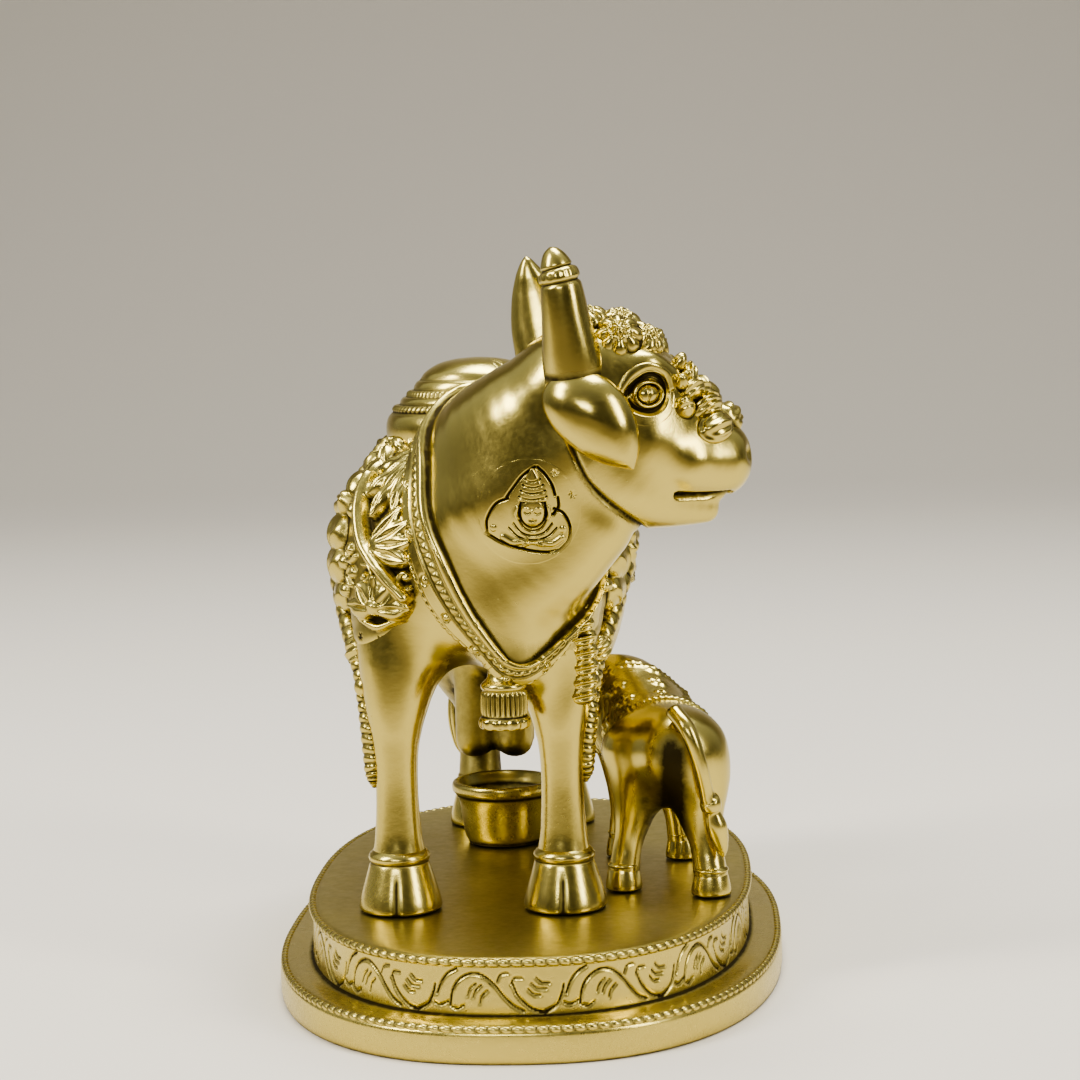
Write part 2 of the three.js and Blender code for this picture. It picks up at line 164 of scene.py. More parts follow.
def gridPart(points, dirtAndShade=0.0, loopRows=False, loopColumns=True, caps=True, flip=False):
    # a surface over points[row, column]; rings that loop are closed by a fan at each end
    # the darkening, painted shade in corners and recesses with some dirt, is given for each point, for each
    # ring, or once
    rows, columns = points.shape[:2]
    faces = gridFaces(rows, columns, loopRows, loopColumns)
    flat = points.reshape(-1, 3)
    stainAndShade = np.clip(np.broadcast_to(np.asarray(dirtAndShade, float), (rows, columns)), 0, 1).reshape(-1)
    if caps and loopColumns and not loopRows:
        ring = np.arange(columns)
        after = (ring + 1) % columns
        first, last = len(flat), len(flat) + 1
        flat = np.vstack([flat, points[0].mean(0), points[-1].mean(0)])
        stainAndShade = np.append(stainAndShade, [stainAndShade[:columns].mean(), stainAndShade[-columns:].mean()])
        start = np.stack([after, ring, np.full(columns, first), np.full(columns, first)], 1)
        base = (rows - 1) * columns
        end = np.stack([base + ring, base + after, np.full(columns, last), np.full(columns, last)], 1)
        faces = np.vstack([faces, start, end])
    if flip:
        triangle = (faces[:, 2] == faces[:, 3])[:, None]
        faces = np.where(triangle, faces[:, [1, 0, 2, 2]], faces[:, ::-1])
    return flat, faces, stainAndShade


def addParts(name, parts, material="brass"):
    # several grid parts as one piece
    count = np.cumsum([0] + [len(p[0]) for p in parts])
    faces = np.vstack([p[1] + n for p, n in zip(parts, count)])
    dirtAndShade = np.concatenate([p[2] for p in parts])
    return addMesh(name, np.vstack([p[0] for p in parts]), faces, dirtAndShade, material)


def addGrid(name, points, dirtAndShade=0.0, material="brass", **ways):
    # one grid as a piece of its own
    return addParts(name, [gridPart(points, dirtAndShade, **ways)], material)


def aimed(normal, turn=0.0):
    # two ways across a surface whose outward way is given
    n = unit(np.asarray(normal, float))
    a = unit(np.cross((0.0, 0.0, 1.0) if abs(n[2]) < 0.9 else (0.0, 1.0, 0.0), n))
    b = np.cross(n, a)
    return math.cos(turn) * a + math.sin(turn) * b, -math.sin(turn) * a + math.cos(turn) * b, n


def ornament(at, normal, size, heights, turn=0.0, sunk=0.8, rings=26, sides=72, bend=0.0):
    # a small cast ornament: heights(r, angle) over a disc of half sizes size, closed underneath.
    # r runs from 0 in the middle to 1 at the rim; bend lets the rim drop away round a curved base.
    a, b, n = aimed(normal, turn)
    r = np.linspace(0.02, 1, rings)[:, None]
    angle = roundAngles(sides)[None, :]
    h = heights(r, angle) + 0 * angle
    top = (
        vec(*at) + (r * np.cos(angle) * size[0])[..., None] * a
        + (r * np.sin(angle) * size[1])[..., None] * b
    )
    top = top + (h - bend * r * r)[..., None] * n
    points = np.concatenate([top, top[-1:] - sunk * n])
    low = h - h.min()
    # painted shade: darker where the ornament lies low, and underneath
    stainAndShade = np.clip(1.15 - 2.6 * low / max(low.max(), 1e-6), 0, 1) ** 1.5
    stainAndShade = np.concatenate([stainAndShade, np.ones((1, sides))])
    return gridPart(points, stainAndShade)


def petalDisc(petals, tall, eye):
    # heights of a double flower: two rows of |cos| lobes that narrow to the rim, a groove and a domed eye
    def heights(r, angle):
        wave = np.abs(np.cos(petals * angle / 2)) ** 0.55
        edge = 0.80 + 0.2 * wave
        h = tall * 0.66 * roundTop(r / edge, 6) * (0.35 + 0.65 * wave)
        inner = np.abs(np.sin(petals * angle / 2)) ** 0.55
        step = 0.5 + 0.08 * inner
        h = np.maximum(h, tall * 0.86 * roundTop(r / step, 6) * (0.75 + 0.25 * inner))
        h = h - 0.25 * tall * ridge(r - eye - 0.06, 0.05)
        return np.maximum(h, tall * roundTop(r / eye))

    return heights


def budDisc(tall, ribs=0, ribDepth=0.12, ringAt=None):
    # heights of a rounded bud, ribbed along its first way, with a ring cut round it
    def heights(r, angle):
        h = tall * roundTop(r, 2.2)
        if ribs:
            across = r * np.sin(angle)
            h = h * (1 - ribDepth * (0.5 - 0.5 * np.cos(across * ribs * np.pi)))
        if ringAt:
            h = h - 0.16 * tall * ridge(r - ringAt, 0.05)
        return h

    return heights


def facesInward(points, normal):
    # whether the sheet's middle face, wound by rows and columns, looks against the outward way there
    i, j = points.shape[0] // 2, points.shape[1] // 2
    face = np.cross(points[i, j + 1] - points[i, j], points[i + 1, j] - points[i, j])
    return bool(face @ normal[i, j] < 0)


def reliefPanel(casting, start, way, height, stainAndShade, shown, smooth=0.8):
    # a sheet of rays walked onto the casting, then pushed out along the skin's own way by height
    # Where a ray misses, or only grazes the skin, the sheet dips below it, and the missed faces are left out.
    every = (slice(None, None, 9), slice(None, None, 9))
    sample = landOn(casting, start[every], way if np.ndim(way) == 1 else way[every])
    casting = casting.near(sample[np.abs(casting.at(sample)) < walkLimits["hit"]])
    land = landOn(casting, start, way)
    hit = np.abs(casting.at(land)) < walkLimits["hit"]
    step = np.linalg.norm(start[1, 0] - start[0, 0])
    cells = max(1, round(smooth / step))  # the sheet is evened about as much as the skin it lies on
    share = blurred(hit.astype(float), cells)
    even = np.stack([blurred(land[..., k] * hit, cells) for k in range(3)], -1)
    even = even / np.maximum(share, 1e-3)[..., None]
    land = np.where((hit & (share > 0.999))[..., None], even, land)
    normal = casting.slope(land, 0.6)
    graze = 1 - softStep(-(normal @ way) if np.ndim(way) == 1 else -(normal * way).sum(-1), 0.12, 0.34)
    points = land + normal * (height * (1 - graze) - 0.6 * graze)[..., None]
    flat, faces, stainAndShade = gridPart(points, stainAndShade, loopColumns=False, flip=facesInward(points, normal))
    used, faces = clipped(flat, faces, (hit & shown).reshape(-1))
    return flat[used], faces, stainAndShade[used]


def sweepRings(stations, sides, per=6, towards=(0, 0, 1), power=2.0):
    # Oval rings on a smooth path. A station is x, y, z, half size towards the reference, half size across it.
    rows = smoothStations(stations, per)
    middle, sizes = rows[:, :3], np.maximum(rows[:, 3:5], 0.02)
    along = unit(np.gradient(middle, axis=0))
    reference = np.broadcast_to(unit(vec(*towards)), along.shape)
    first = unit(reference - (reference * along).sum(1, keepdims=True) * along)
    second = np.cross(along, first)
    angle = roundAngles(sides)
    a = np.sign(np.cos(angle)) * np.abs(np.cos(angle)) ** (2 / power)
    b = np.sign(np.sin(angle)) * np.abs(np.sin(angle)) ** (2 / power)
    return (
        middle[:, None, :]
        + first[:, None, :] * (sizes[:, :1] * a)[:, :, None]
        + second[:, None, :] * (sizes[:, 1:] * b)[:, :, None]
    )


def latheRings(profile, at, sides):
    # a profile of radius and height carried round an upright axis: x = r cos, y = r sin, z = height
    angle = roundAngles(sides)
    r, z = np.asarray(profile, float).T
    ring = np.stack([np.cos(angle), np.sin(angle), np.zeros(sides)], 1)
    return vec(*at) + ring[None] * r[:, None, None] + vec(0, 0, 1) * z[:, None, None]


# Cast bodies: chains of balls whose radius changes along a smooth path, run together with fillets.
# This is the signed distance to the skin: the nearest point of each chain gives distance less radius, and a
# smooth minimum joins the chains.


def evened(points, faces, rounds):
    # each point moves half way to the middle of its neighbours, again and again
    a, b = faces.reshape(-1), np.roll(faces, -1, 1).reshape(-1)
    a, b = np.concatenate([a, b]), np.concatenate([b, a])
    count = np.maximum(np.bincount(a, minlength=len(points)), 1)
    points = points.copy()
    for _ in range(rounds):
        middle = np.stack([np.bincount(a, points[b, k], len(points)) for k in range(3)], 1) / count[:, None]
        points += (middle - points) * 0.5
    return points


class Casting:
    def __init__(self, chains):
        # each part: smoothed rows of x, y, z, radius, the fillet, and a way to thin it in
        self.parts = []
        for chain in chains:
            self.parts.append((smoothStations(chain["line"], 4), chain["fillet"], chain.get("thin")))

    @staticmethod
    def chainDistance(points, rows, thin):
        # distance to each straight piece of the chain, less its radius there; the least of them counts
        shape = points.shape[:-1]
        centre = rows[:, :3].mean(0)
        flat, middles = points.reshape(-1, 3) - centre, rows[:, :3] - centre
        if thin is not None:
            way, factor = unit(vec(*thin[:3])).astype(np.float32), thin[3]
            flat = flat + (flat @ way)[:, None] * way * (factor - 1)
            middles = middles + (middles @ way)[:, None] * way * (factor - 1)
        a, reach = middles[:-1], np.diff(middles, axis=0)
        long = np.maximum((reach * reach).sum(1), 1e-6)
        radius, growth = rows[:-1, 3], np.diff(rows[:, 3])
        best = np.empty(len(flat), np.float32)
        for first in range(0, len(flat), 16384):
            p = flat[first : first + 16384]
            square = (p * p).sum(1)[:, None] + (a * a).sum(1) - 2 * p @ a.T
            onto = p @ reach.T - (a * reach).sum(1)
            t = np.clip(onto / long, 0, 1)
            square = square - t * (2 * onto - t * long)
            best[first : first + 16384] = (np.sqrt(np.maximum(square, 0)) - radius - growth * t).min(1)
        return best.reshape(shape)

    @staticmethod
    def blend(old, new, fillet):
        # smooth minimum: the less of the two, lowered by a quarter of the fillet where they are equal
        near = np.maximum(fillet - np.abs(old - new), 0) / fillet
        return np.minimum(old, new) - near * near * fillet * 0.25

    def at(self, points):
        # signed distance to the skin
        points = np.asarray(points, np.float32)
        values = np.full(points.shape[:-1], 60.0, np.float32)
        for rows, fillet, thin in self.parts:
            values = self.blend(values, self.chainDistance(points, rows.astype(np.float32), thin), fillet)
        return values

    def near(self, points, reach=12.0):
        # the same casting with only the chains that come within reach of these points
        small = Casting([])
        points = points.astype(np.float32)
        for part in self.parts:
            if self.chainDistance(points, part[0].astype(np.float32), part[2]).min() < reach:
                small.parts.append(part)
        return small

    def slope(self, points, step=0.15):
        # the outward way, from differences of the distance
        moves = np.eye(3, dtype=np.float32) * step
        return unit(np.stack([self.at(points + m) - self.at(points - m) for m in moves], -1))

    def onGrid(self, axes):
        # signed distance over a grid, each chain worked out only in the box it can reach
        values = np.full([len(a) for a in axes], 60.0, np.float32)
        for rows, fillet, thin in self.parts:
            reach = rows[:, 3:4].max() + fillet + 2
            low, high = rows[:, :3].min(0) - reach, rows[:, :3].max(0) + reach
            cut = tuple(slice(*np.searchsorted(a, (l, h))) for a, l, h in zip(axes, low, high))
            if any(s.start >= s.stop for s in cut):
                continue
            inReach = [a[s] for a, s in zip(axes, cut)]
            block = np.stack(np.meshgrid(*inReach, indexing="ij"), -1).astype(np.float32)
            found = self.chainDistance(block, rows.astype(np.float32), thin)
            values[cut] = self.blend(values[cut], found, fillet)
        return values

    def skin(self, low, high, cell, rounds=12):
        # one point in each grid cell that the surface crosses, and one face round each grid edge that it cuts
        axes = [np.arange(l, h + cell, cell) for l, h in zip(low, high)]
        values = self.onGrid(axes)
        inside = values < 0
        offsets = np.array(list(np.ndindex(2, 2, 2)))
        shape = np.array(values.shape) - 1
        window = lambda a, o: a[o[0] : o[0] + shape[0], o[1] : o[1] + shape[1], o[2] : o[2] + shape[2]]
        count = sum(window(inside, o).astype(np.uint8) for o in offsets)
        mixed = (count > 0) & (count < 8)
        cells = np.argwhere(mixed)
        number = np.full(mixed.shape, -1, np.int64)
        number[mixed] = np.arange(len(cells))
        corner = np.stack([values[tuple((cells + o).T)] for o in offsets], 1)
        total, weight = np.zeros((len(cells), 3)), np.zeros((len(cells), 1))
        for i in range(8):
            for j in range(i + 1, 8):
                if np.abs(offsets[i] - offsets[j]).sum() != 1:
                    continue
                crossed = ((corner[:, i] < 0) != (corner[:, j] < 0))[:, None]
                t = (corner[:, i] / (corner[:, i] - corner[:, j] + 1e-12))[:, None]
                total += np.where(crossed, offsets[i] + (offsets[j] - offsets[i]) * t, 0)
                weight += crossed
        points = np.array([a[0] for a in axes]) + (cells + total / weight) * cell
        faces = []
        around = {
            0: [(0, 1, 1), (0, 0, 1), (0, 0, 0), (0, 1, 0)],
            1: [(1, 0, 1), (1, 0, 0), (0, 0, 0), (0, 0, 1)],
            2: [(1, 1, 0), (0, 1, 0), (0, 0, 0), (1, 0, 0)],
        }
        for axis, shifts in around.items():
            here = inside.take(range(inside.shape[axis] - 1), axis)
            there = inside.take(range(1, inside.shape[axis]), axis)
            edges = np.argwhere(here != there)
            others = [k for k in range(3) if k != axis]
            edges = edges[(edges[:, others] > 0).all(1) & (edges[:, others] < shape[others]).all(1)]
            quad = np.stack([number[tuple((edges - s).T)] for s in shifts], 1)
            outward = here[tuple(edges.T)]
            faces.append(np.where(outward[:, None], quad, quad[:, ::-1]))
        faces = np.vstack(faces)
        points = points - self.slope(points) * np.clip(self.at(points), -cell, cell)[:, None]
        points = evened(points, faces, rounds)
        return points, faces, self.slope(points, 0.6)


def crevice(casting, points, normals, reach=5.0):
    # painted shade in corners: how little room there is just outside the skin, 0 in the open, 1 in a tight
    # corner
    room = casting.at(points + normals * reach) / reach
    return np.clip(1.05 - room, 0, 1)


walkLimits = {"steps": 40, "closeEnough": 0.001, "tooFar": 110, "hit": 0.2}  # mm


def landOn(casting, start, way):
    # walk each ray forward by the distance left to the skin, until it lands or has gone too far
    shape = start.shape
    spot = start.reshape(-1, 3).astype(np.float32)
    way = np.broadcast_to(way, shape).reshape(-1, 3).astype(np.float32)
    walking, gone = np.arange(len(spot)), np.zeros(len(spot), np.float32)
    for _ in range(walkLimits["steps"]):
        left = np.clip(casting.at(spot[walking]), -2, 8)
        spot[walking] += way[walking] * left[:, None]
        gone[walking] += left
        onWay = (np.abs(left) > walkLimits["closeEnough"]) & (gone[walking] < walkLimits["tooFar"])
        walking = walking[onWay]
        if not len(walking):
            break
    return spot.reshape(shape).astype(float)


# Relief drawn as heights over a flat sheet (a along, b up, both in mm)


def segmentDistance(a, b, line):
    # distance in the sheet from each sample to the nearest point of a line of straight pieces
    best = np.full(a.shape, 1e3)
    for (a0, b0), (a1, b1) in zip(line[:-1], line[1:]):
        da, db = a1 - a0, b1 - b0
        t = np.clip(((a - a0) * da + (b - b0) * db) / (da * da + db * db + 1e-9), 0, 1)
        best = np.minimum(best, np.hypot(a - a0 - t * da, b - b0 - t * db))
    return best


def curve(points, per=6):
    # a smooth line through drawn points
    return smoothStations(points, per)


def cord(a, b, line, width, height):
    # a round bead along a line
    d = segmentDistance(a, b, curve(line)) / (width / 2)
    return height * roundTop(d)


def cut(a, b, line, width, depth):
    # a V-shaped cut along a line
    d = segmentDistance(a, b, curve(line)) / (width / 2)
    return -depth * np.clip(1 - d, 0, 1)


def dome(a, b, at, radius, height):
    # half a ball: height times sqrt(1 - d^2)
    d = np.hypot(a - at[0], b - at[1]) / radius
    return height * roundTop(d)


def flower(a, b, at, radius, petals, height, turn=0.0):
    # round petals, each with a crease down its middle, about a domed eye
    angle = np.arctan2(b - at[1], a - at[0]) + turn
    r = np.hypot(a - at[0], b - at[1]) / radius
    wave = np.abs(np.cos(petals * angle / 2))
    edge = 0.68 + 0.32 * wave
    petal = roundTop(r / edge) * (0.55 + 0.45 * wave) * height * 0.8
    petal = petal - 0.18 * height * ridge(wave - 1, 0.02) * (r > 0.45) * (petal > 0.05)
    eye = dome(a, b, at, radius * 0.3, height)
    ring = -0.35 * height * ridge(r - 0.36, 0.06)
    return np.maximum(petal + ring * (petal > 0), eye)


def leaf(a, b, start, end, width, height, veins=5, blunt=0.0):
    # a pointed oval with a cut middle rib and slanting veins; blunt widens it towards its end, like a petal
    (a0, b0), (a1, b1) = start, end
    long = math.hypot(a1 - a0, b1 - b0)
    ua, ub = (a1 - a0) / long, (b1 - b0) / long
    s = ((a - a0) * ua + (b - b0) * ub) / long
    t = -(a - a0) * ub + (b - b0) * ua
    swell = np.sqrt(np.clip(np.sin(np.pi * np.clip(s, 0, 1)), 0, 1))
    half = width / 2 * swell * (1.15 - 0.5 * s + blunt * s)
    inside = np.clip(1 - (t / np.maximum(half, 1e-3)) ** 2, 0, 1) * (s > 0) * (s < 1)
    body = height * np.sqrt(inside)
    slant = np.cos((s * veins * 2 - np.abs(t) / width * 3) * np.pi)
    return body * (1 + 0.07 * slant) - 0.22 * height * ridge(t, 0.35) * (inside > 0)


def starStrokes(spot, reach):
    # three short lines crossed at a spot, about 60 degrees apart
    for turn in range(3):
        dx, dy = reach * math.cos(turn * 1.05), reach * math.sin(turn * 1.05)
        yield [(spot[0] - dx, spot[1] - dy), (spot[0] + dx, spot[1] + dy)]


# Finishes


def brassFinish(name, colour, darkColour, roughness, scratch=1.0):
    # polished metal; noise varies its tone and roughness, and the attribute of painted shade and dirt turns
    # it dark and dull: painted shade in corners, recesses and undersides, with some dirt
    m = bpy.data.materials.new(name)
    m.use_nodes = True
    nodes, links = m.node_tree.nodes, m.node_tree.links
    shader = nodes["Principled BSDF"]
    shader.inputs["Metallic"].default_value = 1.0

    def node(kind, **values):
        # a node with its sockets or properties set by name
        made = nodes.new(kind)
        for key, value in values.items():
            if key in made.inputs:
                made.inputs[key].default_value = value
            else:
                setattr(made, key, value)
        return made

    def worked(kind, first, second):
        # one step of arithmetic on sockets or numbers
        made = node("ShaderNodeMath", operation=kind)
        for socket, value in zip(made.inputs, (first, second)):
            if isinstance(value, (int, float)):
                socket.default_value = value
            else:
                links.new(value, socket)
        return made.outputs[0]

    place = node("ShaderNodeTexCoord").outputs["Object"]
    dirtAndShade = node("ShaderNodeAttribute", attribute_name="dirtAndShade").outputs["Fac"]
    broad = node("ShaderNodeTexNoise", Scale=38.0, Detail=4.0, Roughness=0.6)
    links.new(place, broad.inputs["Vector"])
    speck = node("ShaderNodeTexNoise", Scale=420.0, Detail=5.0, Roughness=0.7)
    links.new(place, speck.inputs["Vector"])
    brushed = node("ShaderNodeMapping")
    brushed.inputs["Scale"].default_value = (500.0, 2600.0, 900.0)
    brushed.inputs["Rotation"].default_value = (0.4, 0.2, 0.5)
    links.new(place, brushed.inputs["Vector"])
    hair = node("ShaderNodeTexNoise", Scale=1.0, Detail=3.0, Roughness=0.6)
    links.new(brushed.outputs["Vector"], hair.inputs["Vector"])
    # painted shade and dirt gather in the recesses, broken up by the specks
    broken = worked("MULTIPLY", worked("SUBTRACT", speck.outputs["Fac"], 0.5), 0.7)
    amount = worked("ADD", dirtAndShade, worked("MULTIPLY", broken, worked("ADD", dirtAndShade, 0.12)))
    ramp = node("ShaderNodeValToRGB")
    ramp.color_ramp.elements[0].position = 0.18
    ramp.color_ramp.elements[0].color = (0, 0, 0, 1)
    ramp.color_ramp.elements[1].position = 0.85
    ramp.color_ramp.elements[1].color = (1, 1, 1, 1)
    links.new(amount, ramp.inputs["Fac"])
    tone = node("ShaderNodeMix", data_type="RGBA")
    links.new(broad.outputs["Fac"], tone.inputs["Factor"])
    tone.inputs[6].default_value = (*[c * 0.94 for c in colour], 1)
    tone.inputs[7].default_value = (*[min(c * 1.06, 1) for c in colour], 1)
    mix = node("ShaderNodeMix", data_type="RGBA")
    links.new(ramp.outputs["Color"], mix.inputs["Factor"])
    links.new(tone.outputs[2], mix.inputs[6])
    mix.inputs[7].default_value = (*darkColour, 1)
    links.new(mix.outputs[2], shader.inputs["Base Color"])
    wear = worked("MULTIPLY", worked("SUBTRACT", broad.outputs["Fac"], 0.5), 0.16)
    fine = worked("MULTIPLY", worked("SUBTRACT", hair.outputs["Fac"], 0.5), 0.14 * scratch)
    rough = worked("ADD", worked("ADD", wear, fine), roughness)
    rough = worked("ADD", rough, worked("MULTIPLY", ramp.outputs["Color"], 0.35))
    links.new(rough, shader.inputs["Roughness"])
    hairBump = worked("MULTIPLY", hair.outputs["Fac"], 0.5 * scratch)
    bumpHeight = worked("ADD", hairBump, worked("MULTIPLY", speck.outputs["Fac"], 0.35))
    bumpHeight = worked("ADD", bumpHeight, worked("MULTIPLY", broad.outputs["Fac"], 1.8))
    bump = node("ShaderNodeBump", Strength=0.35, Distance=0.0001)
    links.new(bumpHeight, bump.inputs["Height"])
    links.new(bump.outputs["Normal"], shader.inputs["Normal"])
    return m


brassColour = (0.615, 0.503, 0.15)
# the colour of painted shade and dirt in corners and recesses
darkShadeAndDirt = (0.048, 0.036, 0.014)
finishes = {
    "brass": brassFinish("polished brass", brassColour, darkShadeAndDirt, 0.23),
    "base": brassFinish("plinth brass", brassColour, darkShadeAndDirt, 0.28, 1.3),
}

# Stage, lights and camera

view = {
    "camera": (39.5, -595.7, 157.9),
    "azimuth": -0.0613,  # radians from +Y
    "down": 0.1025,
    "roll": -0.0274,
    "lens": 87.17,
    "shiftX": 0.0023,
}


def makeCamera():
    # stands where the photographer stood: turned from +Y, tipped down, then rolled about its line of sight
    camera = bpy.data.cameras.new("photo view")
    camera.lens = view["lens"]
    camera.sensor_width = 36.0
    camera.sensor_fit = "HORIZONTAL"
    camera.shift_x = view["shiftX"]
    camera.clip_start = 0.01
    holder = placed("photo view", camera)
    turn, down, roll = view["azimuth"], view["down"], view["roll"]
    ahead = vec(math.sin(turn) * math.cos(down), math.cos(turn) * math.cos(down), -math.sin(down))
    right = vec(math.cos(turn), -math.sin(turn), 0)
    up = np.cross(right, ahead)
    tiltedRight = math.cos(roll) * right + math.sin(roll) * up
    tiltedUp = -math.sin(roll) * right + math.cos(roll) * up
    matrix = Matrix.Identity(4)
    for row in range(3):
        matrix[row][0], matrix[row][1], matrix[row][2] = tiltedRight[row], tiltedUp[row], -ahead[row]
        matrix[row][3] = view["camera"][row] / 1000
    holder.matrix_world = matrix
    bpy.context.scene.camera = holder


def softLight(name, at, target, size, watts, colour=(1, 1, 1)):
    # a rectangular light aimed at a point
    light = bpy.data.lights.new(name, "AREA")
    light.shape = "RECTANGLE"
    light.size, light.size_y = size
    light.energy = watts
    light.color = colour
    holder = placed(name, light)
    holder.location = at
    holder.rotation_euler = (Vector(target) - Vector(at)).to_track_quat("-Z", "Y").to_euler()


def makeStage():
    # a floor that sweeps up into a wall far behind
    s = np.linspace(0, 1, 40)
    bend = np.clip((s - 0.55) / 0.25, 0, 1) * np.pi / 2
    y = np.where(s < 0.55, -2.0 + s / 0.55 * 3.2, 1.2 + 0.8 * np.sin(bend))
    z = np.where(s < 0.55, 0.0, 0.8 * (1 - np.cos(bend)))
    z = z + np.clip((s - 0.8) / 0.2, 0, 1) * 3.0
    x = np.linspace(-3, 3, 2)
    points = np.stack(np.broadcast_arrays(x[None, :], y[:, None], z[:, None]), -1)
    mesh = bpy.data.meshes.new("pale floor")
    mesh.from_pydata(points.reshape(-1, 3).tolist(), [], gridFaces(40, 2).tolist())
    for face in mesh.polygons:
        face.use_smooth = True
    floor = placed("pale_floor", mesh)
    m = bpy.data.materials.new("pale floor")
    m.use_nodes = True
    shader = m.node_tree.nodes["Principled BSDF"]
    nodes, links = m.node_tree.nodes, m.node_tree.links
    # painted shade: the floor's colour turns dark towards the photographer's side, from y = -0.12 m to -0.36
    # m
    place = nodes.new("ShaderNodeTexCoord")
    split = nodes.new("ShaderNodeSeparateXYZ")
    reach = nodes.new("ShaderNodeMapRange")
    reach.inputs["From Min"].default_value = -0.36
    reach.inputs["From Max"].default_value = -0.12
    ramp = nodes.new("ShaderNodeValToRGB")
    ramp.color_ramp.elements[0].color = (0.15, 0.125, 0.085, 1)
    ramp.color_ramp.elements[1].color = (0.76, 0.70, 0.60, 1)
    links.new(place.outputs["Object"], split.inputs[0])
    links.new(split.outputs["Y"], reach.inputs["Value"])
    links.new(reach.outputs["Result"], ramp.inputs["Fac"])
    links.new(ramp.outputs["Color"], shader.inputs["Base Color"])
    shader.inputs["Roughness"].default_value = 0.9
    mesh.materials.append(m)


def makeLight():
    # a plain studio: a graded surround, tall windows left and right, a low one in front and one above
    world = bpy.context.scene.world or bpy.data.worlds.new("studio")
    bpy.context.scene.world = world
    world.use_nodes = True
    nodes, links = world.node_tree.nodes, world.node_tree.links
    background = nodes["Background"]
    place = nodes.new("ShaderNodeTexCoord")
    # brightness follows the way looked in: bright above and behind the piece, dim on the photographer's side
    aim = nodes.new("ShaderNodeVectorMath")
    aim.operation = "DOT_PRODUCT"
    aim.inputs[1].default_value = (-0.10, 0.55, 0.83)
    spread = nodes.new("ShaderNodeMapRange")
    spread.inputs["From Min"].default_value = -1.0
    ramp = nodes.new("ShaderNodeValToRGB")
    links.new(place.outputs["Generated"], aim.inputs[0])
    links.new(aim.outputs["Value"], spread.inputs["Value"])
    links.new(spread.outputs["Result"], ramp.inputs["Fac"])
    stops = ramp.color_ramp.elements
    stops[0].position, stops[0].color = 0.1, (0.035, 0.034, 0.026, 1)
    stops[1].position, stops[1].color = 0.95, (0.74, 0.77, 0.80, 1)
    middle = stops.new(0.5)
    middle.color = (0.115, 0.11, 0.095, 1)
    links.new(ramp.outputs["Color"], background.inputs["Color"])
    background.inputs["Strength"].default_value = 0.76
    softLight("window left", (-0.9, -0.5, 0.9), (0, 0, 0.09), (0.26, 0.8), 11, (1.0, 0.98, 0.95))
    softLight("window right", (0.85, -0.55, 0.55), (0.02, -0.03, 0.09), (0.22, 0.7), 5.5, (1.0, 0.97, 0.9))
    softLight("low window", (-0.25, -1.3, 0.62), (0, -0.05, 0.03), (0.5, 0.22), 4, (1.0, 0.99, 0.95))
    softLight("top", (0.1, 0.15, 1.2), (0, 0, 0.05), (0.7, 0.5), 15, (0.97, 0.99, 1.0))


bpy.context.scene.view_settings.look = "AgX - Medium High Contrast"
makeCamera()
makeStage()
makeLight()
print("stage ready")

# The cow's cast body


def bothSides(line, middle):
    # the line and its mirror image in the plane x = middle
    rows = np.asarray(line, float)
    other = rows * [-1, 1, 1, 1] + [2 * middle, 0, 0, 0]
    return [rows, other]


cowSizes = {
    "cell": 1.25,
    "coarseCell": 1.6,
    "foreLegX": 18.0,  # from the middle plane
    "foreLegY": -38.0,
    "hindMiddle": -5.8,
    "hindLegX": 10.4,
    "hindLegY": 51.0,
}


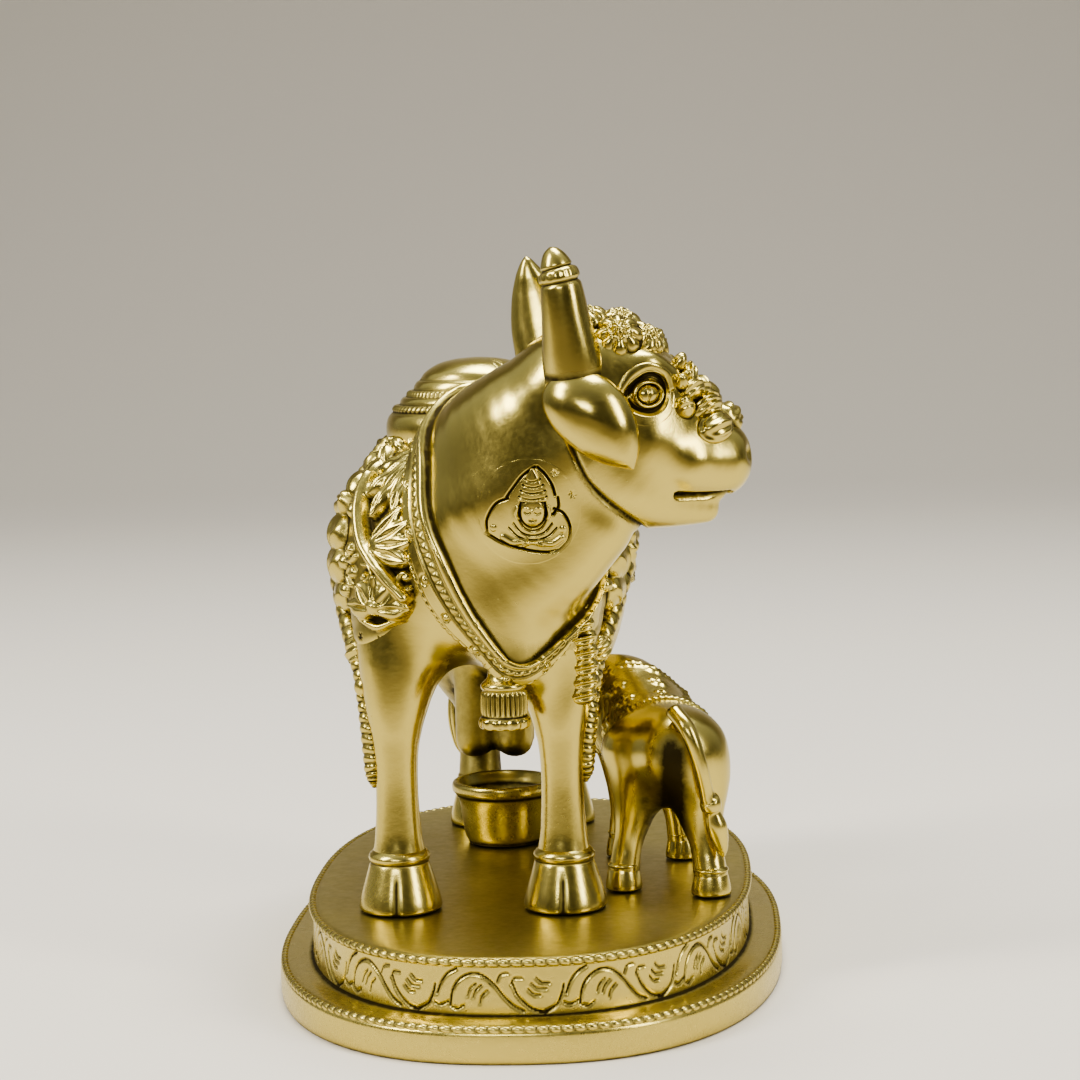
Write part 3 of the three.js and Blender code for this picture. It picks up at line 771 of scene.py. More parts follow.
def cowCasting(headChains, withNeck=True):
    # trunk, hump, three neck chains, dewlap and belly, then legs, teats and head; rows are x, y, z, radius
    s = cowSizes
    foreX, foreY = cowX - s["foreLegX"], s["foreLegY"]
    hindX, hindY = s["hindMiddle"] - s["hindLegX"], s["hindLegY"]
    chains = [
        {"line": [
            (cowX, -33, 91, 13), (cowX, -24, 95, 24), (cowX, -6, 98, 31), (cowX, 18, 98, 32.5),
            (cowX, 38, 99, 30), (cowX, 50, 101, 21), (cowX, 56, 102, 13)
        ], "thin": (0, 0, 1, 1.1), "fillet": 6},
        {"line": [(cowX, -12, 112, 17), (cowX, -12, 119, 15)], "fillet": 10},
        {"line": [
            (-9, -15, 105, 15.5), (-4.5, -32, 117.5, 15.4), (2, -41, 124.5, 13.6),
            (10.5, -45.5, 130, 12.4), (17.5, -46.5, 132.4, 11.8)
        ], "fillet": 8, "part": "neck"},
        {"line": [
            (-8, -20, 98, 19), (-4.5, -34.5, 104, 16.8), (2, -42.5, 110, 14.6), (11.5, -47, 118, 12.8),
            (18, -47, 124, 11.8)
        ], "fillet": 7, "part": "neck"},
        {"line": [
            (-6, -33, 90, 13), (0.5, -41, 87, 10), (9, -45.3, 94, 8.6), (18.5, -47.5, 104, 7.6)
        ], "fillet": 9, "part": "neck"},
        {"line": [(-4, -36, 85, 9), (-1.6, -43, 79.5, 5.8), (-0.4, -46.2, 74.6, 4.2)], "fillet": 8},
        {"line": [(cowX + 2, 30, 70, 10.5), (cowX + 2, 37, 70, 10.5)], "fillet": 6},
    ]
    foreLeg = [
        (foreX, foreY, 24, 6.2), (foreX, foreY, 31, 6.0), (foreX, foreY, 36, 5.3),
        (foreX, foreY, 47, 4.7), (foreX, foreY, 57, 5.3), (foreX + 0.4, foreY + 1, 66, 7.2),
        (foreX + 1.6, foreY + 4, 77, 10), (foreX + 3, foreY + 9, 90, 12.5),
        (foreX + 4.5, foreY + 13, 101, 13)
    ]
    hindLeg = [
        (hindX, hindY, 24, 5.8), (hindX, hindY, 31, 5.6), (hindX, hindY + 1.5, 39, 5.1),
        (hindX, hindY + 2.6, 46, 5.5), (hindX, hindY + 1, 53, 7), (hindX - 1, hindY - 4, 63, 11),
        (hindX - 2, hindY - 9, 77, 15), (hindX - 1, hindY - 12, 92, 17)
    ]
    teats = [[(x, y, 62, 5), (x, y, 52, 4.8), (x, y, 44.5, 4.9)] for x, y in ((-15.8, 34), (-6, 34))]
    for line in bothSides(foreLeg, cowX):
        chains.append({"line": line, "fillet": 9})
    for line in bothSides(hindLeg, s["hindMiddle"]):
        chains.append({"line": line, "fillet": 7})
    chains += [{"line": line, "fillet": 2.5} for line in teats]
    chains += headChains
    if not withNeck:
        chains = [c for c in chains if c.get("part") != "neck"]
    return Casting(chains)


# Head places are forward (to the muzzle), left and up from headSizes["at"]

headSizes = {
    "cell": 0.5, "coarseCell": 0.8, "evened": 1.8, "at": (20.0, -46.5, 128.0), "turn": math.radians(14)
}


headTurn = (math.cos(headSizes["turn"]), math.sin(headSizes["turn"]))


def fromHead(rows):
    # forward, left, up (and anything after them) to the frame's x, y, z
    rows = np.array(np.atleast_2d(rows), dtype=float)
    c, s = headTurn
    f, l = rows[..., 0].copy(), rows[..., 1].copy()
    rows[..., 0], rows[..., 1] = f * c - l * s, f * s + l * c
    rows[..., :3] += headSizes["at"]
    return rows


def toHead(points):
    # the frame's x, y, z to forward, left, up
    c, s = headTurn
    p = points - np.array(headSizes["at"])
    return np.stack([p[..., 0] * c + p[..., 1] * s, -p[..., 0] * s + p[..., 1] * c, p[..., 2]], -1)


def headWay(f, l, u):
    # a direction given as forward, left, up
    c, s = headTurn
    return unit(vec(f * c - l * s, f * s + l * c, u))


def headChains():
    # skull, cheeks, snout and nose, lips, jaw, then brows and cheeks on both sides
    # each with its fillet, how much the head is thinned across there, and rows of forward, left, up, radius
    parts = [
        (5, None, [(-5, 0, 7, 11.5), (-1, 0, 8, 11.6)]),
        (3, 1.12, [(-2, 0, 4, 12.5), (3, 0, 4.4, 12.8), (6, 0, 3.2, 12.2)]),
        (5, 1.12, [(5, 0, -1, 12), (12, 0, -4.4, 11.4), (18, 0, -8.4, 9.2), (23.4, 0, -11, 7.6)]),
        (3, 0.74, [(20, 0, -10.2, 6.8), (26.6, 0, -10.4, 5.0)]),
        (3, 0.74, [(18, 0, -11.8, 6.6), (25.8, 0, -13.0, 5.0)]),
        (3, 0.8, [(21, 0, -7.4, 5.6), (25.6, 0, -7.8, 5.0)]),
        (2, 0.95, [(-3, 0, -8, 11.5), (4, 0, -14, 10.2), (12, 0, -18.6, 6.4), (21.8, 0, -21.2, 3.3)]),
    ]
    for side in (-1, 1):
        brow = [(4.5, side * 8.8, 8.8, 3), (8.5, side * 9.2, 10, 2.8), (12.5, side * 7.8, 7.8, 2.2)]
        cheek = [(8, side * 6.4, -7, 5), (15, side * 5.6, -10.4, 4)]
        parts += [(3, None, brow), (5, None, cheek)]
    across = headWay(0, 1, 0)
    return [
        {"line": fromHead(rows), "thin": (*across, factor) if factor else None, "fillet": fillet}
        for fillet, factor, rows in parts
    ]


cowForm = cowCasting(headChains())
trunkForm = cowCasting([], False)
mouthLine = [(14.4, -17.6), (17, -17.9), (20.5, -18.1), (23, -18.1), (26.5, -18.0)]
halterLine = [(-9.6, -3.5), (-8.5, -7.4), (-5.9, -13), (-2, -17.4), (3, -21.4), (9.6, -26)]
collarSizes = {
    "outer": {"middle": (-4.5, -35.5, 101.5), "across": (16.4, 4.8, 0), "up": (-4, 14.3, 31)},
    "inner": {"middle": (-0.5, -40, 104), "across": (12.6, 6, 0), "up": (-3.6, 13, 28.6)},
    "proud": 1.3,
}
neckMiddle = vec(-2.5, -37.7, 102.7)
neckWay = vec(0.316, -0.848, 0.428)  # square to the collar, towards the head
emblemSizes = {"at": (4.3, -52.0, 107.8), "reach": 10.6, "sink": 1.1}
lookWay = vec(-0.061, 0.993, -0.102)
lookRight = vec(0.998, 0.0584, -0.0273)
lookUp = vec(0.0211, 0.1038, 0.9944)
eyeSizes = {"at": (7.4, 3.9), "reach": 6.2, "sink": 1.6}


def makeCowBody():
    # the casting's skin behind the collar; painted shade follows the corners and the underside
    cell = cowSizes["cell"]
    points, faces, normals = cowForm.skin((-50, -66, 22), (40, 74, 150), cell, 5)
    used, faces = clipped(points, faces, (points - neckMiddle) @ neckWay < 1.2)
    points, normals = points[used], normals[used]
    stainAndShade = crevice(cowForm, points, normals, 7) ** 1.5 * 0.8
    # painted shade: darker low down on the back half, about the udder and hind legs, and on faces that look
    # down
    stainAndShade += softStep(points[:, 2], 80, 60) * softStep(points[:, 1], -10, 15) * 0.42
    stainAndShade += 0.3 * softStep(-normals[:, 2], 0.5, 1.0)
    piece = addMesh("cow_body", points, faces, np.clip(stainAndShade, 0, 1))
    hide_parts("cow")


def makeFront():
    # neck and head on a finer grid; cuts are pushed in along the skin's own way
    cell = headSizes["cell"]
    points, faces, normals = cowForm.skin((-34, -70, 70), (58, -12, 154), cell, 18)
    used, faces = clipped(points, faces, (points - neckMiddle) @ neckWay > -1.2)
    points, normals = points[used], normals[used]
    local = toHead(points)
    f, l, u = local[:, 0], local[:, 1], local[:, 2]
    inHead = softStep(f, -12, -9)
    mouth = segmentDistance(f, u, curve(mouthLine))
    mouthDepth = 1.9 * np.clip(1 - mouth / 0.85, 0, 1) * inHead
    halter = segmentDistance(f, u, curve(halterLine))
    halterDepth = 1.0 * np.clip(1 - halter / 0.75, 0, 1) * inHead
    nostril = np.sqrt((f - 30.6) ** 2 * 0.5 + (u + 9.6) ** 2 + (np.abs(l) - 3.9) ** 2)
    nostrilDepth = 1.5 * ridge(nostril, 1.5)
    eye = np.hypot(f - eyeSizes["at"][0], u - eyeSizes["at"][1])
    eyeFade = softStep(eye, eyeSizes["reach"] - 0.4, eyeSizes["reach"] - 1.6)
    eyeSink = eyeSizes["sink"] * eyeFade * (np.abs(l) > 4)
    rel = points - np.array(emblemSizes["at"])
    emblem = np.hypot(rel @ lookRight, rel @ lookUp)
    reach = emblemSizes["reach"]
    emblemSink = emblemSizes["sink"] * softStep(emblem, reach - 0.4, reach - 1.8) * (rel[:, 1] < 14)
    depth = mouthDepth + halterDepth + nostrilDepth + eyeSink + emblemSink
    # painted shade in the corners, in the cut mouth, nostrils and halter line, and in a band beside the
    # halter
    stainAndShade = crevice(cowForm, points, normals, 4) ** 2 * 0.55
    stainAndShade = np.maximum(stainAndShade, mouthDepth * 0.8)
    stainAndShade = np.maximum(stainAndShade, nostrilDepth * 0.5)
    stainAndShade = np.maximum(stainAndShade, halterDepth * 1.1)
    stainAndShade = np.maximum(stainAndShade, 0.25 * ridge(halter - 0.8, 1.4) * inHead)
    # painted shade on the neck beside the collar's inner edge
    side = (points - neckMiddle) @ neckWay
    stainAndShade = np.maximum(stainAndShade, 0.35 * softStep(side, 5, 1) * softStep(u, 10, -20))
    points = points - normals * depth[:, None]
    addMesh("cow_neck_and_head", points, faces, np.clip(stainAndShade, 0, 1))


def eyeHeights(a, b):
    # a drawn-out lid line round a ring, the ball inside it and a slot for the pupil
    x, y = a - eyeSizes["at"][0], b - eyeSizes["at"][1]
    h = np.zeros(a.shape)
    lid = [
        (-5.1, -0.4), (-3.2, 2.0), (0.0, 3.9), (2.9, 3.1), (4.1, 0.3), (3.1, -2.5), (0.5, -3.6),
        (-2.7, -2.8), (-5.1, -0.4)
    ]
    outline = curve(lid, 8)
    d = segmentDistance(x, y, outline)
    inside = ((x / 4.3) ** 2 + (y / 3.5) ** 2) < 1
    h = h - 1.05 * np.clip(1 - d / 0.85, 0, 1) ** 0.8 * (0.75 + 0.25 * softStep(y, -2, 1))
    h = h - 0.35 * inside
    r = np.hypot((x - 0.1) / 3.5, (y - 0.1) / 2.9)
    h = np.maximum(h, np.where(r < 1, -0.3 + 0.95 * roundTop((r - 0.88) / 0.12), -9))
    ball = np.hypot((x - 0.2) / 2.45, (y - 0.1) / 1.95)
    h = np.where(ball < 1.08, -0.75, h)
    h = np.where(ball < 1, -0.7 + 1.75 * roundTop(ball), h)
    h = h - 0.45 * ridge(x + 0.15, 0.18) * (ball < 0.9)
    brow = cord(x, y, [(-6.0, 1.6), (-3.4, 4.6), (0.6, 6.2), (4.2, 4.4), (5.4, 1.4)], 1.7, 0.45)
    return h + brow


def makeEyes():
    # the eye's heights over a square of the head's side, cast on both sides
    step = 0.14
    reach = eyeSizes["reach"]
    for side, word in ((-1, "right"), (1, "left")):
        a, b = sheetGrid((-reach - 1.6, reach + 1.6), (-reach - 1.6, reach + 1.6), step)
        a, b = a + eyeSizes["at"][0], b + eyeSizes["at"][1]
        start = fromHead(np.stack([a, np.full(a.shape, side * 30.0), b], -1))
        r = np.hypot(a - eyeSizes["at"][0], b - eyeSizes["at"][1])
        h = eyeHeights(a, b)
        fade = softStep(r, reach + 0.2, reach + 1.3)
        height = h * (1 - fade) + 0.02 - 0.4 * fade
        # painted shade in the eye's recesses and deep cuts
        stainAndShade = cavity(h, 6, 1.6) + 0.9 * softStep(-h, 0.4, 0.9)
        part = reliefPanel(
            cowForm, start, headWay(0, -side, 0), height, stainAndShade, fade < 1, headSizes["evened"]
        )
        addParts("eye_" + word, [part])


def emblemHeights(a, b):
    # a pointed arch over three lobes, cut round a small seated figure with a tall banded cap
    h = np.zeros(a.shape)
    outline = [
        [(1.4, 9.2), (-1.2, 7.4), (-3.4, 4.6), (-4.6, 2.9)],
        [(-4.2, 2.8), (-6.8, 1.6), (-8.6, -1.4), (-8.6, -4.2)],
        [(-8.8, -4.4), (-5.4, -6.4), (-1.0, -7.8), (3.4, -8.4), (6.6, -8.0)],
        [(6.6, -8.0), (8.4, -6.0), (8.7, -3.0), (7.4, -0.4), (5.4, 0.6)],
        [(5.6, 3.4), (4.9, 5.6), (3.4, 7.8), (1.9, 9.2)],
        [(6.2, 2.9), (6.3, 1.0), (5.2, -0.6)],
    ]
    for line in outline:
        h = np.minimum(h, cut(a, b, line, 0.8, 0.8))
    # cap: a cone with four bands
    cap = (b > 2.2) & (b < 8.9)
    half = 2.9 * np.clip((9.3 - b) / 6.6, 0, 1) ** 0.75
    h = np.where(
        cap & (np.abs(a - 1.0) < half), 0.1 + 0.75 * roundTop((a - 1.0) / np.maximum(half, 0.05)), h
    )
    for rise, wide in ((2.9, 2.9), (4.1, 2.6), (5.3, 2.2), (6.5, 1.6)):
        h = h + cut(a, b, [(1 - wide, rise + 0.25), (1, rise - 0.25), (1 + wide, rise + 0.25)], 0.42, 0.55)
    # face: an oval with closed lids on its middle line, a short nose, and lips half way down to the chin
    face = np.hypot((a - 1.0) / 2.45, (b + 0.1) / 2.9)
    faceTall = 0.15 + 0.85 * roundTop(face)
    h = np.where((face < 1) & (b < 2.4), faceTall, h)
    h = h + cut(a, b, [
        (1 - 2.5, 1.9), (1 - 2.75, 0), (1 - 2.2, -2.0), (1, -3.25), (1 + 2.2, -2.0), (1 + 2.75, 0),
        (1 + 2.5, 1.9)
    ], 0.5, 0.7)
    for way in (-1, 1):
        h = h + cut(
            a, b, [(1 + way * 0.45, 0.15), (1 + way * 1.05, -0.2), (1 + way * 1.65, 0.15)], 0.34, 0.42
        )
        h = h + cord(
            a, b, [(1 + way * 0.35, 0.75), (1 + way * 1.05, 1.05), (1 + way * 1.75, 0.75)], 0.36, 0.16
        )
        h = h + cord(a, b, [(1 + way * 3.2, 0.9), (1 + way * 3.5, -0.4), (1 + way * 3.1, -1.5)], 0.8, 0.5)
    h = h + cord(a, b, [(1, 0.5), (1, -0.85)], 0.6, 0.3)
    h = h + cut(a, b, [(1 - 0.75, -1.5), (1, -1.72), (1 + 0.75, -1.5)], 0.34, 0.4)
    # neck chains, shoulders and folded arms
    for wide, drop in ((3.0, -4.0), (4.0, -5.0), (5.0, -5.9)):
        h = h + cut(a, b, [
            (1 - wide, drop + 2.6), (1 - wide * 0.6, drop + 0.7), (1, drop), (1 + wide * 0.6, drop + 0.7),
            (1 + wide, drop + 2.6)
        ], 0.45, 0.55)
    for line in ([(-5.2, -5.2), (-3.0, -6.3), (-0.4, -6.0)], [(2.4, -6.2), (5.0, -6.6), (7.0, -5.4)]):
        h = h + cord(a, b, line, 1.3, 0.5)
    h = h + cord(a, b, [(-0.8, -6.9), (1.0, -6.3), (2.8, -6.9)], 0.9, 0.4)
    for spot in ((-7.2, -3.4), (7.2, -3.6)):
        h = h + dome(a, b, spot, 0.7, 0.3)
    # small star stamps beside the arch
    for spot in ((5.6, 8.0), (9.2, 3.6)):
        for line in starStrokes(spot, 0.75):
            h = h + cut(a, b, line, 0.3, 0.35)
    return h


def makeEmblem():
    # the emblem's heights over a disc of the neck, seen along the photographer's line of sight
    step = 0.13
    reach = emblemSizes["reach"]
    a, b = sheetGrid((-reach - 1.8, reach + 1.8), (-reach - 1.8, reach + 1.8), step)
    start = np.array(emblemSizes["at"]) - lookWay * 16 + a[..., None] * lookRight + b[..., None] * lookUp
    h = emblemHeights(a, b)
    fade = softStep(np.hypot(a, b), reach + 0.2, reach + 1.5)
    height = h * (1 - fade) + 0.02 - 0.4 * fade
    near = np.exp(-((np.hypot(a / 8.5, (b + 0.5) / 9) / 0.9) ** 6))
    # painted shade in the recesses and cuts; the emblem's middle is a little darker too
    stainAndShade = cavity(h, 5, 2.6) + 0.8 * softStep(-h, 0.3, 0.7) + 0.14 * near
    part = reliefPanel(cowForm, start, lookWay, height, stainAndShade, fade < 1, headSizes["evened"])
    addParts("neck_emblem", [part])


# Horns: the near one has a ring below its rounded tip, the far one is a plain leaf. Ears are leaves too.


hornSizes = {"sides": 72, "ring": 0.645, "grooves": (0.60, 0.69), "root": 0.14}  # shares of the length


def makeHorns():
    # oval rings on a bent path; the near horn has a knurled ring between two grooves
    near = [
        (-7.0, -7.6, 4, 6.4, 6.2), (-7.5, -8.6, 9, 6.3, 6.1), (-8.2, -9.4, 14, 5.9, 5.8),
        (-9.2, -10.4, 20, 5.0, 5.0), (-10.1, -10.9, 26.5, 4.3, 4.3), (-11.1, -10.8, 31, 3.3, 3.3),
        (-11.8, -10.4, 33.6, 1.9, 1.9), (-12.1, -10.1, 34.6, 0.3, 0.3)
    ]
    far = [
        (-8.0, 7.6, 4, 6.8, 5.2), (-8.9, 9.0, 12, 7.3, 4.8), (-10.2, 10.3, 19, 6.8, 4.2),
        (-11.6, 10.8, 25, 5.1, 3.3), (-12.6, 10.6, 29, 3.2, 2.4), (-13.2, 10.3, 32, 1.3, 1.2),
        (-13.4, 10.2, 33, 0.2, 0.2)
    ]
    for line, word, banded in ((near, "right", 1.0), (far, "left", 0.0)):
        rings = sweepRings(fromHead(line), hornSizes["sides"], 16, (1, 0, 0))
        share = np.linspace(0, 1, len(rings))[:, None, None]
        middle = rings.mean(1, keepdims=True)
        angle = roundAngles(hornSizes["sides"])[None, :, None]
        fromRing = share - hornSizes["ring"]
        knurl = 0.12 * np.cos(angle * 15) * ridge(fromRing, 0.03)
        swell = 0.35 * np.exp(-((fromRing / 0.035) ** 4)) + knurl
        first, second = hornSizes["grooves"]
        groove = 0.55 * ridge(share - first, 0.009) + 0.55 * ridge(share - second, 0.009)
        rings = rings + unit(rings - middle) * (swell - groove) * banded
        # painted shade in the near horn's grooves and in a band near each horn's root
        stainAndShade = banded * groove * 1.9 + 0.8 * ridge(share - hornSizes["root"], 0.035)
        addGrid("horn_" + word, rings, stainAndShade[..., 0])


def makeEars():
    # leaf-shaped rings with a slightly pointed outline, with painted shade at the root
    for side, word in ((-1, "right"), (1, "left")):
        line = fromHead([
            (-12.4, side * 8.6, 7.4, 0.5, 0.5), (-11.4, side * 9.8, 6.2, 4.6, 2.8),
            (-8.5, side * 12.0, 3.6, 7.0, 4.3), (-5.2, side * 13.6, 0.6, 7.7, 4.9),
            (-2.5, side * 14.4, -2.8, 7.1, 4.5), (-0.1, side * 14.6, -6.0, 5.5, 3.7),
            (1.9, side * 14.5, -8.8, 3.2, 2.4), (3.4, side * 14.2, -11.2, 0.2, 0.2)
        ])
        rings = sweepRings(line, 56, 10, (0.8, 0, 0.6), power=1.75)
        share = np.linspace(0, 1, len(rings))[:, None]
        addGrid("ear_" + word, rings, 0.7 * ridge(share, 0.06))


# Crown flowers and the cast bunch on the nose

crownFlowers = [
    # forward, left, up, radius, petals, lean forward, lean left, lean up
    (2.2, -8.6, 16.6, 5.2, 8, -0.1, -0.85, 0.6),
    (9.0, -5.4, 15.8, 4.6, 7, 0.45, -0.6, 0.7),
    (4.0, -2.0, 19.6, 5.2, 8, 0.1, -0.3, 0.95),
    (11.4, 1.6, 14.4, 4.8, 7, 0.7, 0.0, 0.72),
    (-3.8, -2.6, 21.4, 4.8, 8, -0.3, -0.3, 0.95),
    (4.6, 6.6, 17.0, 4.9, 8, 0.1, 0.65, 0.75),
    (-2.5, 6.2, 18.6, 4.2, 7, -0.2, 0.5, 0.85),
]
noseBuds = [
    # forward, left, up, half sizes, height, ribs, ring, lean forward, left, up
    (22.6, -7.0, -3.6, (4.9, 3.7), 2.9, 3, 0.8, 0.3, -0.85, 0.35),
    (21.4, -6.2, 0.9, (4.4, 2.6), 3.5, 5, None, 0.25, -0.8, 0.6),
    (16.0, -8.0, 0.4, (2.2, 2.5), 2.6, 4, None, -0.1, -0.9, 0.4),
    (22.6, 7.0, -3.6, (4.7, 3.7), 3.3, 0, 0.72, 0.3, 0.85, 0.35),
    (21.4, 6.2, 0.9, (4.4, 2.6), 3.5, 5, None, 0.25, 0.8, 0.6),
    (25.4, 0.0, -3.6, (3.8, 4.2), 3.3, 4, 0.7, 0.75, 0, 0.65),
    (21.2, -0.6, 1.2, (4.0, 4.6), 3.4, 0, 0.65, 0.5, 0, 0.85),
    (14.8, -6.4, 4.4, (1.5, 1.8), 2.0, 0, None, 0.1, -0.8, 0.6),
    (16.2, -4.6, 5.2, (1.5, 1.5), 2.0, 0, None, 0.3, -0.6, 0.75),
    (14.6, -3.2, 7.2, (1.6, 1.6), 2.0, 0, None, 0.4, -0.4, 0.8),
    (15.2, 0.2, 6.8, (1.7, 1.7), 2.1, 0, None, 0.5, 0, 0.85),
    (14.6, 3.6, 7.0, (1.6, 1.6), 2.0, 0, None, 0.4, 0.4, 0.8),
]
nosePetals = [
    # the fan of petals over the bridge: forward, left, up, lean forward, left, up, turn
    (17.8, -6.4, 4.0, 0.1, -0.8, 0.6, 0.5),
    (20.6, -5.2, 5.0, 0.35, -0.65, 0.7, 0.1),
    (17.8, -3.2, 6.6, 0.25, -0.4, 0.9, 1.0),
    (23.4, -4.2, 3.4, 0.65, -0.55, 0.5, -0.3),
    (21.4, -1.8, 5.6, 0.55, -0.2, 0.8, 0.8),
    (24.6, -1.2, 3.0, 0.8, -0.1, 0.6, 0.4),
    (18.2, 1.8, 5.6, 0.3, 0.3, 0.9, 2.0),
    (20.6, 3.4, 4.4, 0.5, 0.6, 0.7, 2.8),
    (18.2, 5.0, 3.4, 0.2, 0.75, 0.6, 2.4),
]


def setDown(f, l, u, lean, lift):
    # the point of the skin under an ornament, reached along its own outward way
    way = headWay(*lean)
    above = fromHead([(f, l, u)])[0] + way * 12
    return landOn(cowForm, above[None], -way)[0] + way * lift


def makeHeadOrnaments():
    # every flower and bud is a disc of heights set down on the skin
    parts = []
    for k, (f, l, u, radius, petals, *lean) in enumerate(crownFlowers):
        at = setDown(f, l, u, lean, 1.0)
        heights = petalDisc(petals, 2.5, 0.28)
        parts.append(ornament(at, headWay(*lean), (radius, radius), heights, k * 0.7, 3.0, 24, 80, 1.3))
    addParts("crown_flowers", parts)
    parts = []
    for f, l, u, size, tall, ribs, ring, *lean in noseBuds:
        at = setDown(f, l, u, lean, 0.7)
        heights = budDisc(tall, ribs, 0.22, ring)
        parts.append(ornament(at, headWay(*lean), size, heights, 0.3, 2.6, 16, 40, 0.9))
    for f, l, u, *rest in nosePetals:
        lean, turn = rest[:3], rest[3]
        at = setDown(f, l, u, lean, 0.9)
        parts.append(ornament(at, headWay(*lean), (3.7, 2.1), budDisc(2.6, 3, 0.3), turn, 2.6, 16, 40, 0.8))
    addParts("nose_ornament", parts)


# Collar: a strip carried between two tilted ovals, landed on the skin and raised by the heights of its bands


def makeCollar():
    # between the two ovals, the heights of beads, grooves, dots and rolls follow s, the share of the width
    around, across = ((840, 46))
    t = roundAngles(around)[:, None]
    s = np.linspace(-0.03, 1.05, across)[None, :]
    edges = []
    for word in ("outer", "inner"):
        middle, sideways, upwards = (vec(*collarSizes[word][key]) for key in ("middle", "across", "up"))
        edges.append(middle + np.cos(t)[..., None] * sideways + np.sin(t)[..., None] * upwards)
    path = (edges[0] + edges[1])[:, 0] / 2
    length = np.concatenate([
        [0], np.cumsum(np.linalg.norm(np.diff(path, axis=0, append=path[:1]), axis=1))
    ])
    total = length[-1]
    along = length[:-1, None]
    base = edges[0] * (1 - s[..., None]) + edges[1] * s[..., None]
    for _ in range(4):
        slope = cowForm.slope(base)
        base = base - slope * np.clip(cowForm.at(base), -3, 3)[..., None]
    normal = cowForm.slope(base)

    def beat(pitch):
        # |cos| with a whole number of beats round the collar
        return np.abs(np.cos(np.pi * along / total * round(total / pitch)))

    def band(low, high, edge=0.02):
        # 1 between two shares of the width, with soft edges
        return softStep(s, low - edge, low + edge) * (1 - softStep(s, high - edge, high + edge))

    proud = collarSizes["proud"]
    h = band(0.0, 0.98) * proud
    h = h + band(0.0, 0.075) * (0.35 * beat(1.9) - 0.35)
    h = h - band(0.085, 0.11) * 0.4 + band(0.12, 0.39) * 0.1
    h = h + band(0.40, 0.435) * 0.5 - band(0.445, 0.47) * 0.5
    scale = np.abs((s - 0.57) / 0.1)
    h = h + band(0.475, 0.665) * (0.45 * roundTop(scale) * beat(2.1) ** 0.6 - 0.15)
    h = h - band(0.675, 0.695) * 0.4 + band(0.70, 0.725) * 0.35
    h = h + band(0.74, 0.96) * 0.75 * roundTop((s - 0.85) / 0.115)
    # ringed dots along the flat band
    wide = np.linalg.norm(edges[0] - edges[1], axis=-1)
    count = round(total / 9.3)
    nearest = (np.mod(along / total * count, 1) - 0.5) * total / count
    r = np.hypot(nearest, (s - 0.27) * wide)
    h = h - 0.4 * ridge(r - 0.95, 0.22) + 0.3 * ridge(r, 0.5)
    h = h - 1.6 * softStep(s, 0.975, 1.03) - 1.6 * softStep(-s, 0.005, 0.028)
    # painted shade in the recesses and along the edge where the collar sinks into the skin on its inner side;
    # the scale band a little darker
    stainAndShade = cavity(h, 2, 2.4, (True, False)) * 0.9 + 0.9 * band(0.965, 1.1) + 0.25 * band(0.475, 0.665)
    points = base + normal * h[..., None]
    addGrid("collar", points, stainAndShade, loopRows=True, loopColumns=False, flip=facesInward(points, normal))


# Bell: a ribbed drum under a ring, with a scalloped lip

bellSizes = {"at": (-2.2, -47.5, 0.0), "ribs": 26}


def makeBell():
    # a turned profile whose drum is ribbed and whose lip is scalloped, by cosines of the angle
    profile = smoothStations([
        (0.02, 62.4), (3.6, 62.3), (4.9, 61.5), (5.4, 62.0), (5.45, 63.2), (5.0, 63.9), (4.75, 64.4),
        (4.8, 66), (4.7, 68.6), (4.55, 69.6), (4.9, 70.2), (4.8, 71), (3.6, 72.2), (3.2, 74), (2.6, 76.6),
        (0.02, 77.2)
    ], 4)
    sides = 208
    rings = latheRings(profile, bellSizes["at"], sides)
    angle = roundAngles(sides)[None, :]
    z = profile[:, 1][:, None]
    drum = softStep(z, 64.2, 64.8) * (1 - softStep(z, 69, 69.6))
    lip = softStep(z, 61.6, 62.0) * (1 - softStep(z, 63.4, 63.8))
    wave = 0.5 - 0.5 * np.cos(angle * bellSizes["ribs"])
    out = drum * (0.45 * wave - 0.2) + lip * 0.3 * (0.5 + 0.5 * np.cos(angle * 13) - 0.6)
    outward = unit((rings - vec(*bellSizes["at"])) * [1, 1, 0])
    rings = rings + outward * out[..., None] * (profile[:, :1] > 2.5)[..., None]
    # painted shade between the ribs and in the creases at the ends of the drum
    stainAndShade = drum * (1 - wave) ** 2 * 0.9 + ridge(z - 64.1, 0.3) + 0.6 * ridge(z - 69.7, 0.25)
    addGrid("bell", rings, stainAndShade)


# Hump cap: stacked rolls with beaded edges under a smooth dome with a small star

humpSizes = {"at": (cowX, -12.0), "half": (20.6, 18.6)}


